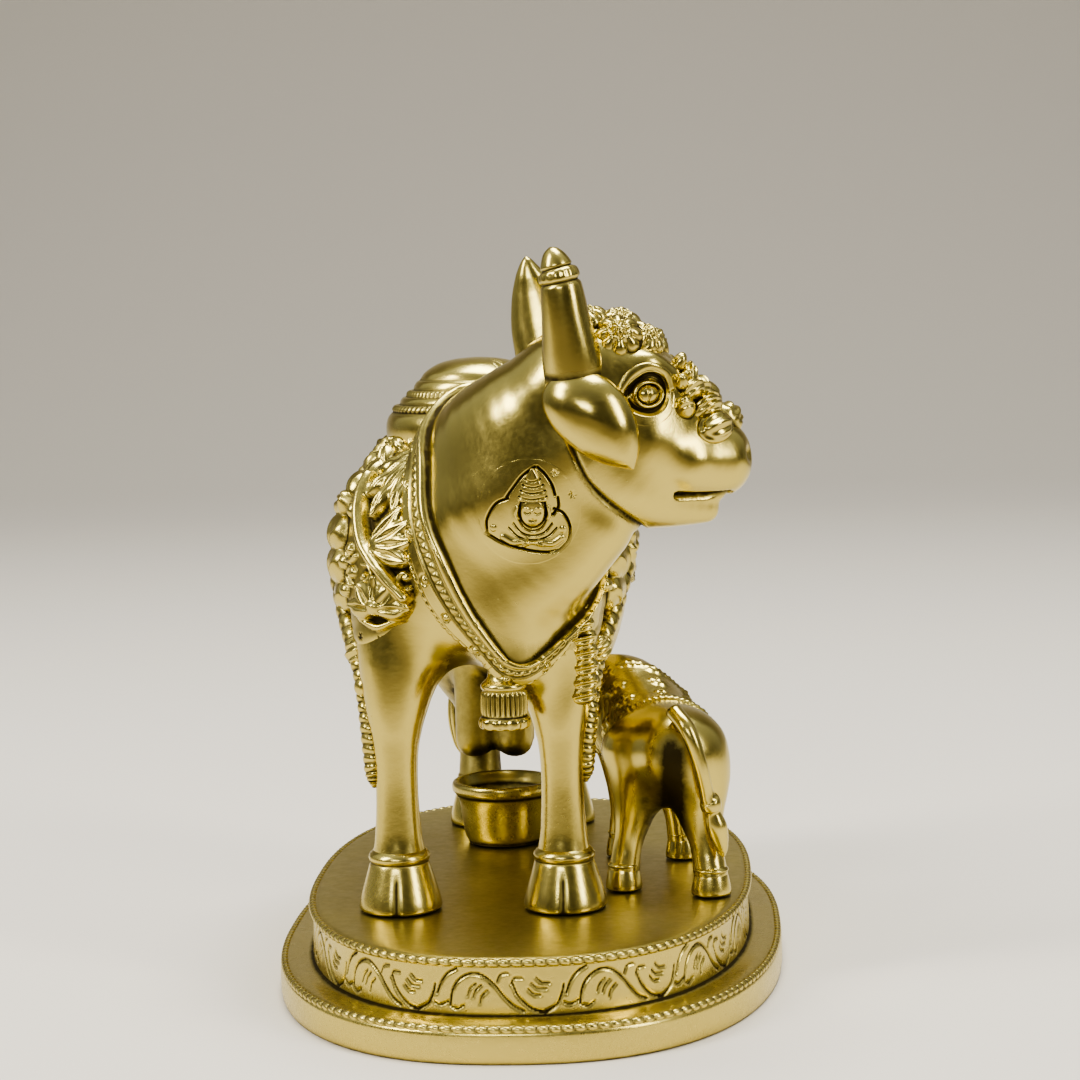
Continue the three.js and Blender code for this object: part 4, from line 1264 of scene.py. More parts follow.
def makeHumpCap():
    # profile rows: share of the half sizes, height, bead depth, painted shade in the steps between rolls
    rows = [
        (0.93, 115.0, 0, 1), (0.97, 119.5, 0, 0.6), (1.0, 122, 0, 0), (1.005, 124.4, 0, 0),
        (0.98, 126.3, 0, 0.1), (0.94, 127.2, 0, 0.6), (0.925, 127.5, 0.3, 1), (0.93, 128.1, 1, 0.2),
        (0.90, 128.9, 1, 0.1), (0.865, 129.0, 0.4, 0.7), (0.85, 129.0, 0, 1.0), (0.845, 129.8, 0, 0.1),
        (0.815, 130.6, 0, 0), (0.785, 130.7, 0.3, 0.9), (0.775, 131.0, 0.6, 0.4), (0.76, 131.8, 1, 0.1),
        (0.725, 132.2, 0.6, 0.3), (0.70, 132.1, 0, 1.0), (0.69, 133.0, 0, 0.1), (0.66, 134.0, 0, 0),
        (0.625, 134.4, 0, 0.8), (0.61, 134.9, 0, 0.3), (0.56, 136.2, 0, 0), (0.42, 137.9, 0, 0),
        (0.25, 138.8, 0, 0), (0.1, 139.1, 0, 0), (0.003, 139.2, 0, 0)
    ]
    profile = smoothStations(rows, 3)
    sides = 400
    angle = roundAngles(sides)[None, :]
    share, z = profile[:, 0][:, None], profile[:, 1][:, None]
    bead = profile[:, 2][:, None] * 0.32 * (np.abs(np.cos(angle * 40)) - 0.5)
    x = (humpSizes["half"][0] * share + bead) * np.cos(angle) + humpSizes["at"][0]
    y = (humpSizes["half"][1] * share + bead) * np.sin(angle) + humpSizes["at"][1]
    # six short cuts of the star, lowered into the dome's front
    dx, dy = x - humpSizes["at"][0] - 4.5, y - humpSizes["at"][1] + 5.0
    star = np.zeros(x.shape)
    for k in range(3):
        way = k * np.pi / 3 + 0.3
        off = np.abs(-dx * math.sin(way) + dy * math.cos(way))
        reach = np.abs(dx * math.cos(way) + dy * math.sin(way))
        star = np.maximum(star, np.clip(1 - off / 0.3, 0, 1) * (reach < 1.9) * (share < 0.7))
    z = z - star * 0.3
    # painted shade between the beads and in the star's cuts
    beadShade = profile[:, 2][:, None] * 0.7 * (1 - np.abs(np.cos(angle * 40)))
    stainAndShade = np.clip(profile[:, 3][:, None] * 0.8, 0, 1) + beadShade + star
    addGrid("hump_cap", np.stack([x, y, z], -1), stainAndShade)


# Shoulder relief: seen square to each shoulder. a runs back from the collar, b up from the shoulder's middle.

shoulderSizes = {"step": 0.28, "quickStep": 0.5, "height": 98.0, "turn": 46.0}


def shoulderHeights(a, b):
    # every motif is laid over the rest by taking the greater height
    h = np.zeros(a.shape)

    def over(part):
        # the greater of the design so far and a new part
        return np.maximum(h, part)

    # scroll-like curls fill the ground behind the larger parts
    for centre, size, turn in (
        ((-8.6, 3.6), 3.0, 0.4), ((1.8, 19.6), 2.6, 2.2), ((-1.4, -4.6), 2.8, 1.2),
        ((5.4, 0.6), 2.8, 3.6), ((3.4, -4.4), 2.4, 5.0), ((7.8, 13.2), 2.6, 0.8),
        ((-11.6, -4.4), 2.2, 4.4)
    ):
        curl = np.linspace(0, 4.6, 9)
        r = size * (1 - curl / 6)
        line = np.stack([centre[0] + r * np.cos(curl + turn), centre[1] + r * np.sin(curl + turn)], 1)
        h = over(cord(a, b, line, 1.3, 1.2))
        h = over(dome(a, b, centre, size * 0.38, 1.5))
    # bow of long leaves under a bright square knot
    for end, wide in (
        ((3.0, 11.6), 4.2), ((-1.0, 7.4), 4.6), ((-6.4, 8.2), 4.6), ((-11.8, 12.0), 4.0),
        ((4.4, 16.4), 3.6)
    ):
        h = over(leaf(a, b, (-4.4, 20.8), end, wide, 2.5, 3, 0.35))
    knot = np.maximum(
        np.abs((a + 5.2) * 0.93 + (b - 21.8) * 0.36), np.abs(-(a + 5.2) * 0.36 + (b - 21.8) * 0.93)
    )
    h = over(3.1 * np.clip((3.2 - knot) / 0.8, 0, 1) * (1 - 0.12 * np.abs(a + 5.2)))
    # the fan of petals and the smooth strap that crosses it
    for end in ((-8.2, 9.4), (-11.2, 6.6), (-12.6, 2.8), (-12.4, -1.0)):
        h = over(leaf(a, b, (-3.2, 1.4), end, 4.4, 2.8, 1, 0.6))
    h = over(cord(
        a, b, [(4.8, 14.6), (3.4, 10.2), (0.8, 5.0), (-1.8, 1.2), (-6.0, -2.6), (-11.6, -8.2)], 2.9, 3.7
    ))
    # half flower: petals fanned over a flat foot, with the moustache swag under it
    for turn in np.linspace(0.04, 0.96, 5):
        way = np.pi * turn
        end = (-5.4 + 7.2 * math.cos(way), -11.4 + 7.4 * math.sin(way))
        h = over(leaf(a, b, (-5.4, -11.4), end, 4.6, 3.0, 1, 0.7))
    h = over(dome(a, b, (-5.4, -10.6), 2.3, 3.8))
    swag = [
        (2.2, -10.6), (-1.0, -13.6), (-5.2, -15.2), (-8.6, -13.8), (-11.0, -13.6), (-14.0, -14.6),
        (-17.4, -12.4)
    ]
    h = over(cord(a, b, swag, 1.8, 1.3))
    # flower and bead bunch on the shoulder's crest
    h = over(flower(a, b, (9.6, 22.6), 5.4, 7, 3.8, 0.3))
    h = over(flower(a, b, (3.2, 25.0), 3.6, 6, 2.8, 0.9))
    for spot, radius, tall in (
        ((14.6, 18.6), 3.4, 3.6), ((18.4, 15.2), 3.4, 4.0), ((13.2, 13.2), 3.0, 3.4),
        ((18.6, 21.2), 3.0, 3.4), ((8.8, 16.4), 2.6, 2.6)
    ):
        ribs = 1 - 0.14 * np.abs(np.sin((a - spot[0]) * 2.0))
        h = over(dome(a, b, spot, radius, tall) * ribs)
    # leaves and ridged shells down the shoulder's back edge
    h = over(leaf(a, b, (11.4, 10.4), (20.6, 7.0), 6.2, 3.8, 3))
    for drop, radius in ((3.2, 4.6), (-3.4, 5.0), (-10.6, 5.0)):
        shell = dome(a, b, (14.6, drop), radius, 4.3)
        h = over(shell * (1 - 0.16 * np.abs(np.sin(np.arctan2(b - drop + radius, a - 14.6) * 6))))
    for spot in ((8.2, 8.8), (8.6, -2.2), (7.2, -8.2)):
        h = over(dome(a, b, spot, 1.7, 1.9))
    # stamped stars
    for spot in ((-5.5, -18.0), (-10.4, -17.8), (-14.2, -16.1), (0.2, -17.6), (-9.8, -21.4)):
        for line in starStrokes(spot, 0.9):
            h = np.minimum(h, cut(a, b, line, 0.4, 0.25) + np.where(h > 0, h, 0))
    return h


def makeShoulders():
    # the right panel is walked on square to the shoulder; the left one is its mirror image
    step = shoulderSizes["step"]
    turn = math.radians(shoulderSizes["turn"])
    a, b = sheetGrid((-21, 25), (-25, 31), step)
    h = shoulderHeights(a, b)
    fade = softStep(np.hypot(a / 20.5 - 0.09, b / 25.5 - 0.1), 0.8, 1.0)
    height = (h + 0.3) * (1 - fade) - 1.3 * fade
    # painted shade in the recesses and in the star cuts; the flat ground between the motifs darker
    ground = 0.38 * (h < 0.15) * np.clip(1 - fade * 3, 0, 1)
    stainAndShade = cavity(h, max(2, round(1.2 / step)), 0.9) * 0.9 * (1 - fade) + ground + 0.8 * (h < -0.05)
    way, back = vec(math.cos(turn), math.sin(turn), 0), vec(-math.sin(turn), math.cos(turn), 0)
    middle = vec(cowX - 20, -35, shoulderSizes["height"])
    start = middle - way * 34 + a[..., None] * back + b[..., None] * vec(0, 0, 1)
    points, faces, stainAndShade = reliefPanel(trunkForm, start, way, height, stainAndShade, fade < 1)
    addParts("shoulder_relief_right", [(points, faces, stainAndShade)])
    addParts("shoulder_relief_left", [(points * [-1, 1, 1] + [2 * cowX, 0, 0], faces[:, ::-1], stainAndShade)])


# Saddle cloth over the back: y along the cow, b round the body in mm of arc

saddleSizes = {"round": 32.0, "front": 6.5, "back": 50.5, "middle": 28.5, "level": 98.0}


def outwardWay(b, radius):
    # the way out from a trunk's middle line, b mm of arc up from its left side
    return np.stack([np.cos(b / radius), np.zeros(b.shape), np.sin(b / radius)], -1)


def saddleHeights(y, b):
    # a cloth with beaded borders, a large flower in a ring, small flowers, and swags below
    h = np.full(y.shape, 1.0)
    middle = saddleSizes["middle"]
    quarter = np.pi / 2 * saddleSizes["round"]
    low = quarter - np.abs(b - quarter)  # mm up from the body's widest line
    for edge in (saddleSizes["front"], saddleSizes["back"]):
        d = np.abs(y - edge)
        h = h + 0.8 * roundTop(d / 1.2) * (0.75 + 0.25 * np.cos(low * 2.9))
    h = h + 0.8 * roundTop((low + 4.5) / 1.2) * (0.75 + 0.25 * np.cos(y * 2.9))
    h = h + 0.4 * roundTop((low + 1.2) / 0.8)
    h = np.maximum(h, 1.0 + flower(y, low, (middle, 15), 8.2, 10, 2.6))
    h = h + 0.5 * ridge(np.hypot(y - middle, low - 15) - 10, 0.6)
    for spot in ((13, 8), (13, 22), (44, 8), (44, 22), (13, 36), (middle, 36), (44, 36)):
        h = np.maximum(h, 1.0 + flower(y, low, spot, 3.6, 6, 1.6))
    # swags of cord and tassels below the cloth
    for first, last in ((8, 28), (29, 49)):
        t = np.linspace(0, 1, 9)
        swag = np.stack([first + (last - first) * t, -6.0 - 6.5 * np.sin(np.pi * t)], 1)
        for drop, wide in ((0, 1.8), (-2.4, 1.3)):
            h = np.maximum(h, np.where(low < -4.5, cord(y, low, swag + [0, drop], wide, 1.9), 0))
    for at in (8, middle, 49):
        h = np.maximum(h, cord(y, low, [(at, -6), (at, -14)], 2.6, 2.2) * (0.8 + 0.2 * np.cos(low * 4)))
        h = np.maximum(h, dome(y, low, (at, -6), 2.2, 2.6))
    below = (low < -5.6) & (h < 1.01)
    return np.where(below, 0.0, h), low


def makeSaddle():
    # rays run inwards from a half cylinder round the trunk
    step = 0.54
    y, b = sheetGrid((3.5, 53.5), (-24, 125), step)
    h, low = saddleHeights(y, b)
    edge = np.minimum(np.minimum(y - 4.6, 52.4 - y), low + 19)
    fade = 1 - softStep(edge, 0, 1.2)
    below = (low < -5.6) & (h < 0.05)
    height = h * (1 - fade) - 0.5 * fade - 0.35 * below * (1 - fade)
    # painted shade in the recesses; the whole cloth a little darker
    stainAndShade = cavity(h, 3, 1.4) + 0.12
    out = outwardWay(b, saddleSizes["round"])
    start = out * 48 + np.stack([np.full(y.shape, cowX), y, np.full(y.shape, saddleSizes["level"])], -1)
    addParts("saddle_cloth", [reliefPanel(trunkForm, start, -out, height, stainAndShade, fade < 1)])


# Leg tassels and tail: tubes whose thickness beats like plaited cord


def thinned(rings, share):
    # each ring drawn in to its middle by a share
    middle = rings.mean(1, keepdims=True)
    return middle + (rings - middle) * share[..., None]


def plait(line, beats, depth=0.22, sides=32, per=14, twist=1.0, towards=(0, 0, 1)):
    # a tube that thins with |cos| of its length, the beats slanted round it by twist, with painted shade
    # where it thins
    rings = sweepRings(line, sides, per, towards)
    share = np.linspace(0, 1, len(rings))[:, None]
    angle = roundAngles(sides)[None, :]
    wave = np.abs(np.cos(np.pi * share * beats + twist * np.sin(angle)))
    return gridPart(thinned(rings, 1 - depth + depth * wave**0.7), 1.1 - 1.5 * wave)


def makeTassels():
    # a plaited strap with a knot and a star down each foreleg, and leaves stacked in front of the left one
    for side, word in ((-1, "right"), (1, "left")):
        strap = [
            (32, -17, 92, 2.4), (29.6, -24, 84, 2.4), (27.2, -30, 77.5, 2.4), (25.6, -33.6, 72, 2.0),
            (24.6, -36, 66, 1.9), (23.8, -37.4, 60, 2.0), (23.2, -38, 54, 2.0), (23, -38, 49.5, 1.7),
            (23, -38, 47, 0.4)
        ]
        rows = [(cowX + side * dx, y + (side > 0) * 3, z, r * 1.1, r) for dx, y, z, r in strap]
        way, bud = (side, -0.9, 0.1), budDisc(2.6, 3, 0.25, 0.75)
        knot = ornament((cowX + side * 26.4, -32.4, 76.0), way, (3.4, 3.0), bud, 0.4, 2.0, 20, 48)
        star = ornament((cowX + side * 24.9, -36.6, 69.0), way, (2.2, 2.2), budDisc(1.8), 0, 1.5, 14, 36)
        addParts("leg_tassel_" + word, [plait(rows, 22), knot, star])
    leaves = []
    for x, z in ((14.4, 82.6), (14.8, 79.6), (15.0, 76.4), (15.0, 73.2), (14.8, 70.0), (14.5, 67.2)):
        landed = landOn(cowForm, vec(x, -75, z)[None], vec(0, 1, 0)[None])[0]
        at = landed + vec(0, -0.3, 0)
        leaves.append(ornament(at, (0.25, -1, 0.15), (3.0, 2.1), budDisc(2.2, 3, 0.3), 0.15, 2.2, 14, 36))
    addParts("front_leg_leaves", leaves)


def makeTail():
    # a plait that ends in a tuft with twelve twisted locks
    line = [
        (cowX, 56, 117, 3.4, 3.4), (cowX, 64.5, 114, 3.1, 3.1), (cowX, 69, 107, 2.9, 2.9),
        (cowX - 1, 70, 94, 2.6, 2.6), (cowX - 4, 68.4, 78, 2.4, 2.4), (cowX - 8.6, 66.4, 62, 2.4, 2.4),
        (cowX - 10.6, 65.8, 55, 2.6, 2.6)
    ]
    tuft = [
        (cowX - 10.6, 65.8, 56, 2.4, 2.4), (cowX - 11.4, 65.4, 52.6, 4.2, 3.8),
        (cowX - 12.6, 64.8, 45, 4.0, 3.6), (cowX - 13, 64.3, 38.5, 2.4, 2.2), (cowX - 13, 64, 35, 0.4, 0.4)
    ]
    rings = sweepRings(tuft, 64, 14, (1, 0, 0))
    angle = roundAngles(64)[None, :]
    lock = np.abs(np.cos(angle * 6 + np.linspace(0, 3, len(rings))[:, None]))
    # painted shade in the grooves between the locks
    tuftPart = gridPart(thinned(rings, 0.86 + 0.14 * lock), 1 - lock)
    addParts("tail", [plait(line, 30, 0.14, 32, 18, 1.4, (1, 0, 0)), tuftPart])


# Hooves: bells with a ring at the pastern and a cleft in front

hoofSizes = {"sides": 96, "cleft": 0.9, "ring": 10.5, "hindScale": 0.86}


def makeHooves():
    # turned bells with a cleft cut in towards the middle at the front
    s = cowSizes
    feet = {
        "fore_right": (cowX - s["foreLegX"], s["foreLegY"], 1.0),
        "fore_left": (cowX + s["foreLegX"], s["foreLegY"], 1.0),
        "hind_right": (s["hindMiddle"] - s["hindLegX"], s["hindLegY"], hoofSizes["hindScale"]),
        "hind_left": (s["hindMiddle"] + s["hindLegX"], s["hindLegY"], hoofSizes["hindScale"]),
    }
    profile = smoothStations([
        (0.01, 0.0), (7.8, 0.0), (8.9, 0.35), (9.0, 1.2), (8.5, 3.4), (7.5, 6.8), (6.6, 9.8), (6.3, 10.5),
        (6.6, 11.0), (6.7, 11.7), (6.3, 12.5), (5.2, 13.4)
    ], 4)
    for word, (x, y, scale) in feet.items():
        rings = latheRings(profile * [scale, 1], (x, y, plinthTop + 0.3), hoofSizes["sides"])
        angle = roundAngles(hoofSizes["sides"])[None, :]
        height = profile[:, 1][:, None]
        front = ridge(angle - 1.5 * np.pi, 0.07) * softStep(height, 9.3, 6.5) * (height > 0.05)
        inward = unit(rings - vec(x, y, 0)) * [1, 1, 0]
        rings = rings - inward * (front * hoofSizes["cleft"])[..., None]
        # painted shade in the cleft, at the pastern ring and where the hoof meets the plinth
        stainAndShade = front + ridge(height - hoofSizes["ring"], 0.3) * 0.8 + ridge(height, 0.5) * 0.9
        addGrid("hoof_" + word, rings, stainAndShade)


makeCowBody()
print("cow body cast")
makeFront()
makeEyes()
makeEmblem()
print("head cast")
makeHorns()
makeEars()
makeHeadOrnaments()
makeHooves()
makeCollar()
makeBell()
makeHumpCap()
print("collar and hump made")
makeShoulders()
makeSaddle()
makeTassels()
makeTail()
print("trappings made")

# Plinth: two oval tiers. A profile of inset and height is carried round a superellipse.

plinthSizes = {
    "halfWide": 57.0,
    "halfLong": 88.0,
    "power": 2.4,
    "upperInset": 7.4,
    "lowerTall": 7.8,
    "beadPitch": 2.45,
    "vinePeriod": 27.0,
    "sides": 480,
}


def ovalLine(inset, steps):
    # points at equal steps along a superellipse, with the outward way at each and the length round
    s = plinthSizes
    angle = np.linspace(0, 2 * np.pi, 4001)
    a = np.sign(np.cos(angle)) * np.abs(np.cos(angle)) ** (2 / s["power"]) * (s["halfWide"] - inset)
    b = np.sign(np.sin(angle)) * np.abs(np.sin(angle)) ** (2 / s["power"]) * (s["halfLong"] - inset)
    length = np.concatenate([[0], np.cumsum(np.hypot(np.diff(a), np.diff(b)))])
    even = np.linspace(0, length[-1], steps, endpoint=False)
    x, y = np.interp(even, length, a), np.interp(even, length, b)
    ahead = unit(np.stack([np.roll(x, -1) - np.roll(x, 1), np.roll(y, -1) - np.roll(y, 1)], 1))
    outward = np.stack([ahead[:, 1], -ahead[:, 0]], 1)
    return np.stack([x, y], 1), outward, even, length[-1]


def ovalRings(profile, steps, baseInset=0.0):
    # profile rows are inset and height; each ring is the base oval moved inwards by its inset
    base, outward, _, _ = ovalLine(baseInset, steps)
    inset, z = np.asarray(profile, float).T
    flat = base[None] - outward[None] * (inset - baseInset)[:, None, None]
    return np.concatenate([flat, np.broadcast_to(z[:, None, None], (len(z), steps, 1))], -1)


def beadedRim(name, inset, z, thick, pitch, steps=7):
    # a torus round the oval whose thickness swells into slanting beads
    count = round(ovalLine(inset, 10)[3] / pitch)
    base, outward, even, total = ovalLine(inset, count * steps)
    angle = roundAngles(8)
    phase = even[:, None] / total * count * 2 * np.pi + 0.7 * np.sin(angle)[None, :]
    r = thick * (0.66 + 0.34 * np.abs(np.cos(phase / 2)) ** 0.8)
    side = np.cos(angle)[None, :] * r
    rise = np.sin(angle)[None, :] * r
    flat = base[:, None, :] + outward[:, None, :] * side[..., None]
    points = np.concatenate([flat, (z + rise)[..., None]], -1)
    # painted shade between the beads
    stainAndShade = np.clip(1.3 * (1 - np.abs(np.cos(phase / 2)) ** 0.5), 0, 1) * 0.9
    addGrid(name, points, stainAndShade, "base", loopRows=True)


# one repeat of the vine, drawn 30 wide: cup leaf, arch with its S-shaped tail, and short curved strokes
vineStrokes = {
    "bold": [
        [(0.3, 1.6), (1.6, -1.1), (4.4, -3.6), (7.6, -4.6)],
        [(7.6, -4.6), (10.4, -3.0), (11.7, -0.5), (12.1, 1.0)],
        [(12.6, -0.8), (13.7, 1.6), (15.3, 3.4), (17.5, 4.5)],
        [
            (15.8, -3.0), (16.4, 0), (18, 2.2), (20.8, 3.5), (23.4, 3.2), (26.2, 1.3), (28.4, -1.2),
            (30.6, -3.2), (32.9, -4.2)
        ],
    ],
    "light": [
        [(0, 1.4), (0.8, 2.6), (2.7, 2.6)],
        [(26.8, 1.9), (27.6, 3.3), (29.5, 3.7)],
        [(5.7, 2.7), (7.1, 1.6), (8.9, 1.4)],
        [(4.6, 1.5), (6, 0.4), (8.2, 0.3)],
        [(3.9, 0.3), (5.2, -0.8), (6.8, -1.0)],
        [(19.9, -1.1), (20.5, 0.3), (21.9, 1.5)],
        [(21.2, -1.4), (21.8, 0), (23.2, 1.2)],
        [(22.8, -2.6), (23.3, -1.1), (24.7, 0.1)],
        [(11.9, -2.6), (13.4, -3.2), (15.4, -2.3)],
        [(15.9, -3.2), (17.5, -3.8), (19.1, -3.0)],
    ],
}


def vineHeights(along, up, period):
    # every stroke is a V-shaped cut, repeated along the band
    drawn = 30.0
    s, up = np.broadcast_arrays(np.mod(along, period) * drawn / period, up)
    h = np.zeros(s.shape)
    for kind, width, depth in (("bold", 0.8, 0.6), ("light", 0.66, 0.5)):
        for line in vineStrokes[kind]:
            for shift in (-drawn, 0, drawn):
                points = curve(line) + [shift, 0]
                if points[:, 0].max() < -1 or points[:, 0].min() > drawn + 1:
                    continue
                h = np.minimum(h, -depth * np.clip(1 - segmentDistance(s, up, points) / (width / 2), 0, 1))
    return h


def makePlinth():
    # two tiers swept round the oval, the cut band between them, and a beaded rim on each tier
    s = plinthSizes
    low = s["lowerTall"]
    inset = s["upperInset"]
    lower = smoothStations([
        (3, 0), (0.7, 0), (0.15, 0.6), (0, 2.5), (0.1, low - 2), (0.35, low - 1.2), (1.2, low - 0.5),
        (2.2, low), (inset - 1.2, low), (inset + 0.2, low + 0.6)
    ], 2)
    upper = smoothStations([
        (inset, plinthTop - 1.9), (inset + 0.1, plinthTop - 1.0), (inset + 1.2, plinthTop - 0.2),
        (inset + 2.4, plinthTop)
    ], 4)
    # inside its edge the top shrinks evenly to the middle, so the rings never cross
    edge = ovalRings(upper, s["sides"], inset)
    shares = np.linspace(0.97, 0.02, 8)[:, None, None]
    topRings = np.concatenate([edge, edge[-1:] * [1, 1, 0] * shares + vec(0, 0, plinthTop)])
    lowerRings = ovalRings(lower, s["sides"])[::-1]
    # painted shade where the tiers meet and along the foot on the floor
    stainAndShade = ridge(lower[:, 0] - inset, 0.9) * (lower[:, 1] > 5) + ridge(lower[:, 1], 0.6) * 0.7
    piece = addGrid("plinth_lower_tier", lowerRings, stainAndShade[::-1, None], "base", flip=True)
    dull = 0.36 * np.clip(np.arange(len(topRings)) / 8, 0, 1)[:, None]
    addGrid("plinth_top", topRings, dull, "base")
    # the band between the tiers, with the vine cut into it
    steps, rows = ((1500, 30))
    base, outward, even, total = ovalLine(inset, steps)
    period = total / round(total / s["vinePeriod"])
    bandLow, bandHigh = low + 0.2, plinthTop - 1.7
    z = np.linspace(bandLow, bandHigh, rows)
    middle = (low + bandHigh) / 2 + 0.2
    h = vineHeights(even[None, :], (z - middle)[:, None], period)
    lean = 0.25 * softStep(z, bandLow, bandHigh)[:, None]
    out = (h - lean)[..., None]
    points = np.concatenate(
        [base[None] + outward[None] * out, np.broadcast_to(z[:, None, None], (rows, steps, 1))], -1
    )
    # painted shade in the vine's cuts and along the foot of the band
    stainAndShade = np.clip(-h * 3 - 0.15, 0, 0.9) + ridge(z - bandLow, 0.7)[:, None] * 0.8
    addGrid("plinth_vine_band", points, stainAndShade, "base", caps=False)
    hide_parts("plinth")
    beadedRim("plinth_lower_beading", 1.0, low - 0.75, 0.95, s["beadPitch"])
    beadedRim("plinth_upper_beading", inset + 0.15, plinthTop - 1.0, 0.95, s["beadPitch"])


makePlinth()
print("plinth made")

# Milk pot: a turned vessel with a thick rim

potSizes = {"radius": 12.6, "tall": 15.0, "wall": 1.8, "at": (-8.6, 29.0, plinthTop + 0.3)}


def makePot():
    # a closed profile turned round: up the outside, over the rim and down the inside
    r, tall, wall = potSizes["radius"], potSizes["tall"], potSizes["wall"]
    foot = r * 0.7
    outside = [
        (0.02, 0), (foot - 0.6, 0), (foot, 0.5), (foot + 1.0, 2.2), (r - 1.9, tall - 6),
        (r - 1.1, tall - 3.4), (r - 0.5, tall - 2.7), (r, tall - 2), (r, tall - 0.7), (r - 0.5, tall)
    ]
    inside = [
        (r - wall + 0.3, tall), (r - wall, tall - 0.7), (r - 3.1, tall - 4), (foot, 3.6),
        (foot - 1.6, wall), (0.02, wall)
    ]
    profile = smoothStations(outside + inside, 4)
    rings = latheRings(profile, potSizes["at"], 96)
    # painted shade under the rim, at the foot and down inside the pot; the whole pot a little darker
    stainAndShade = ridge(profile[:, 1] - tall + 3.1, 0.4) * 0.8 + ridge(profile[:, 1], 0.8) * 0.8
    deep = (np.arange(len(profile)) > len(profile) * 0.62) * softStep(profile[:, 1], tall, 2) * 0.8
    piece = addGrid("pot", rings, (stainAndShade + deep + 0.3)[:, None])
    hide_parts("milk_pot")


makePot()

# Calf: rump to the front, muzzle at the udder

calfSizes = {"cell": 0.85, "coarseCell": 1.1, "clothRound": 11.0, "clothFront": -13.4, "clothBack": 9.4}
calfFeet = {
    "hind_right": (41.0, -29.0, 38.0, -24.0, 3.9),
    "hind_left": (21.6, -23.0, 25.5, -20.5, 3.6),
    "fore_right": (34.5, 8.0, 31.5, 8.0, 3.5),
    "fore_left": (20.5, 11.0, 22.0, 10.0, 3.5),
}


def calfCasting():
    # trunk and head in one chain, then the legs and ears
    chains = [
        {"line": [
            (33.8, -25, 51.2, 9.6), (32.2, -16, 50.2, 11.2), (29, -4, 49.6, 11), (25.6, 7, 53, 11),
            (22, 14.5, 58, 9.2), (16, 21.6, 59.4, 7), (10, 26.2, 58.4, 6.2), (5, 28.8, 55.6, 4.3),
            (2.6, 29.6, 54.2, 3)
        ], "fillet": 3},
    ]
    for x, y, topX, topY, r in calfFeet.values():
        line = [
            (x, y, 24.2, r), (x + (topX - x) * 0.3, y + (topY - y) * 0.3, 31, r * 0.95),
            (x + (topX - x) * 0.7, y + (topY - y) * 0.7, 38, r * 1.35), (topX, topY, 46, r * 2.0),
            (topX - 1, topY + 1, 51, r * 2.1)
        ]
        chains.append({"line": line, "fillet": 4})
    for side in (-1, 1):
        ear = [
            (12 + side * 2.6, 25 + side * 3.4, 62.4, 1.3), (12.6 + side * 4.6, 25 + side * 6, 62.4, 2),
            (13 + side * 6.4, 25 + side * 8.6, 61, 0.8)
        ]
        chains.append({"line": ear, "fillet": 1.2})
    return Casting(chains)


calfForm = calfCasting()


def makeCalf():
    # the calf's skin, with painted shade between its hind legs, a tail and four hooves
    cell = calfSizes["cell"]
    points, faces, normals = calfForm.skin((-2, -42, 21), (50, 40, 76), cell, 6)
    # painted shade in the calf's corners
    stainAndShade = crevice(calfForm, points, normals, 5) ** 1.4
    # painted shade between the hind legs and down the thighs
    rump = (
        ridge(points[:, 0] - 33.0, 3.6) * softStep(points[:, 1], -18, -28)
        * softStep(points[:, 2], 60, 52)
    )
    thigh = (
        ridge(points[:, 0] - 26.5, 2.2) * softStep(points[:, 1], -10, -18)
        * softStep(points[:, 2], 50, 44)
    )
    stainAndShade = np.clip(stainAndShade * 0.8 + rump * 1.1 + thigh * 0.5, 0, 1)
    piece = addMesh("calf_body", points, faces, stainAndShade)
    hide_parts("calf")
    line = [
        (33.6, -31, 61.5, 1.9, 1.9), (36.6, -35.4, 58, 1.8, 1.8), (39, -36, 51, 1.6, 1.6),
        (40.4, -34.8, 44, 1.6, 1.6), (41, -34.2, 42.2, 2.3, 2.3), (41.4, -34, 40.6, 2.3, 2.3),
        (41.6, -33.8, 39.6, 1.7, 1.7), (42.4, -33.4, 36, 2.4, 2.4), (43.4, -32.8, 31.5, 1.5, 1.5),
        (43.8, -32.6, 29.4, 0.3, 0.3)
    ]
    addGrid("calf_tail", sweepRings(line, 32, 8, (1, 0, 0)))
    for word, (x, y, _, _, r) in calfFeet.items():
        profile = smoothStations([
            (0.01, 0), (r * 0.95, 0), (r * 1.12, 0.4), (r * 1.1, 1.8), (r * 0.98, 4), (r * 0.9, 5),
            (r * 1.0, 5.6), (r * 0.8, 6.4)
        ], 4)
        rings = latheRings(profile, (x, y, plinthTop + 0.3), 48)
        # painted shade where the hoof meets the plinth and at its ring
        stainAndShade = ridge(profile[:, 1], 0.5) + ridge(profile[:, 1] - 5, 0.35) * 0.7
        addGrid("calf_hoof_" + word, rings, stainAndShade[:, None])


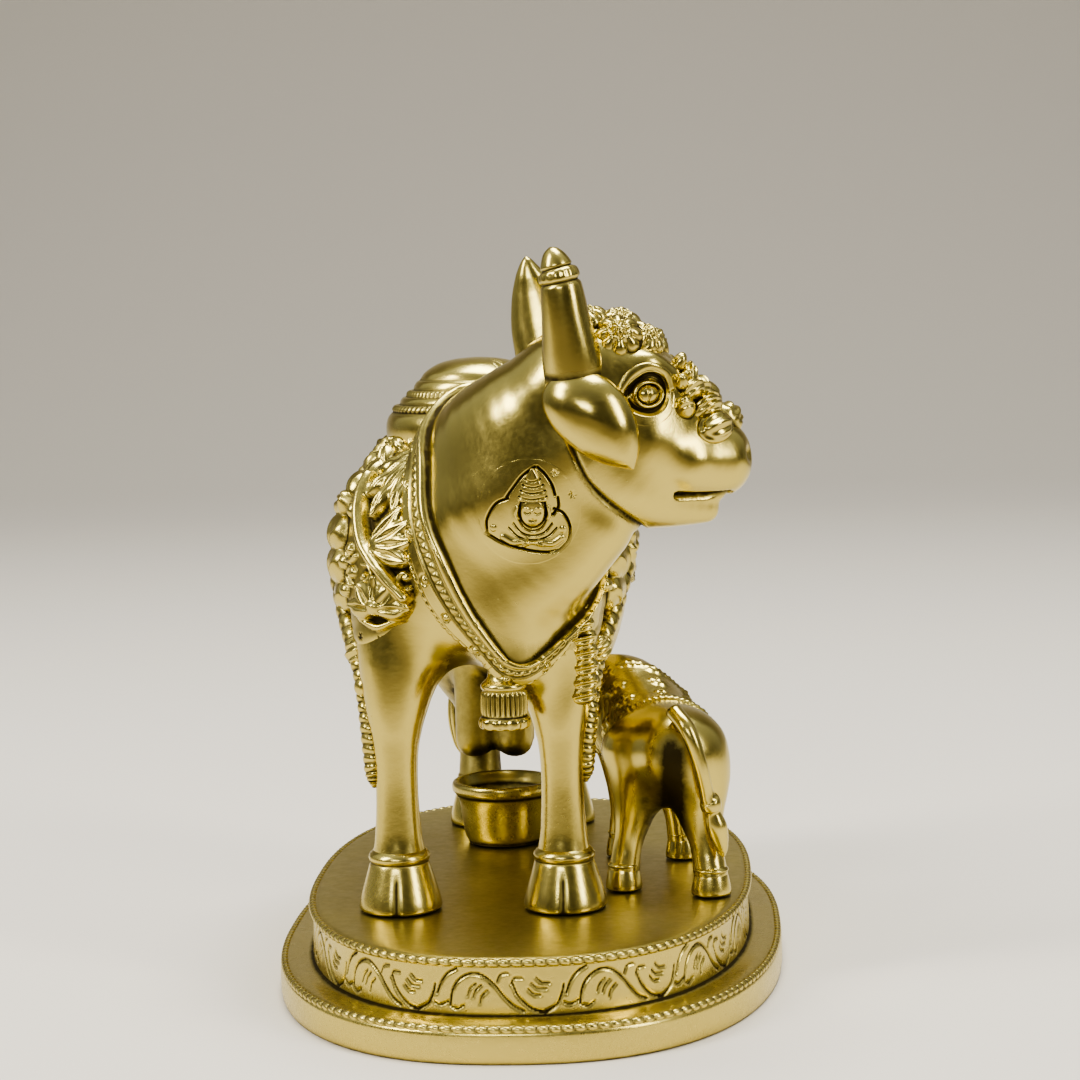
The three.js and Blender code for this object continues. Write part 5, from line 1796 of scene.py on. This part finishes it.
def makeCalfCloth():
    # a saddle cloth over the calf's back: y along it, b round the trunk in mm of arc; beads edge it
    step = 0.34
    y, b = sheetGrid((-15, 11), (-6, 41), step)
    h = np.full(y.shape, 0.55)
    for edge in (calfSizes["clothFront"], calfSizes["clothBack"]):
        for k in (0, 1.5):
            line = np.abs(y - edge - (k if edge < 0 else -k))  # the second row lies inside the first
            h = h + 0.5 * roundTop(line / 0.6) * (0.6 + 0.4 * np.cos(b * 5.5))
    for spot in range(-10, 9, 6):
        for side in (3, 9, 17.3, 25.5, 31.5):
            h = np.maximum(h, 0.55 + flower(y, b, (spot, side), 2.2, 5, 0.9))
    h = h + 0.16 * np.cos((b + 0.6 * y) * 3.2) * (np.abs(b - 17.3) > 11)  # hatching low on the sides
    edge = np.minimum(np.minimum(y + 14.2, 10.2 - y), np.minimum(b + 4.8, 39.4 - b))
    fade = 1 - softStep(edge, 0, 0.8)
    out = outwardWay(b, calfSizes["clothRound"])
    middle = np.stack([30.2 - 0.2 * y, y, 50.5 + 0.1 * y], -1)
    # painted shade in the recesses; the whole cloth a little darker
    stainAndShade = cavity(h, 3, 1.8) + 0.15
    height = h * (1 - fade) - 0.5 * fade
    addParts("calf_cloth", [reliefPanel(calfForm, middle + out * 24, -out, height, stainAndShade, fade < 1)])
    eyes = []
    for side in (-1, 1):
        spot = vec(9.4, 24.2, 60.5) + side * vec(2.7, 4.4, 0)
        eyes.append(ornament(
            spot, (side * 0.5, side * 0.85, 0.35), (1.4, 1.1), budDisc(0.9, 0, 0, 0.6), 0, 1.2, 14, 32
        ))
    addParts("calf_eyes", eyes)
    ears = []
    for side in (-1, 1):
        root = vec(13.4, 21.0, 63.0) + side * vec(2.2, 3.6, 0)
        tip = root + side * vec(3.4, 5.4, 0) + vec(2.2, -2.4, -0.6)
        widths = ((0, 1.0), (0.3, 2.1), (0.6, 2.2), (0.85, 1.3), (1, 0.15))  # share of the length, half width
        line = [(*(root + (tip - root) * t), wide, wide * 0.45) for t, wide in widths]
        ears.append(gridPart(sweepRings(line, 24, 6, (0, 0, 1))))
    addParts("calf_ears", ears)


makeCalf()
makeCalfCloth()
print("calf cast")
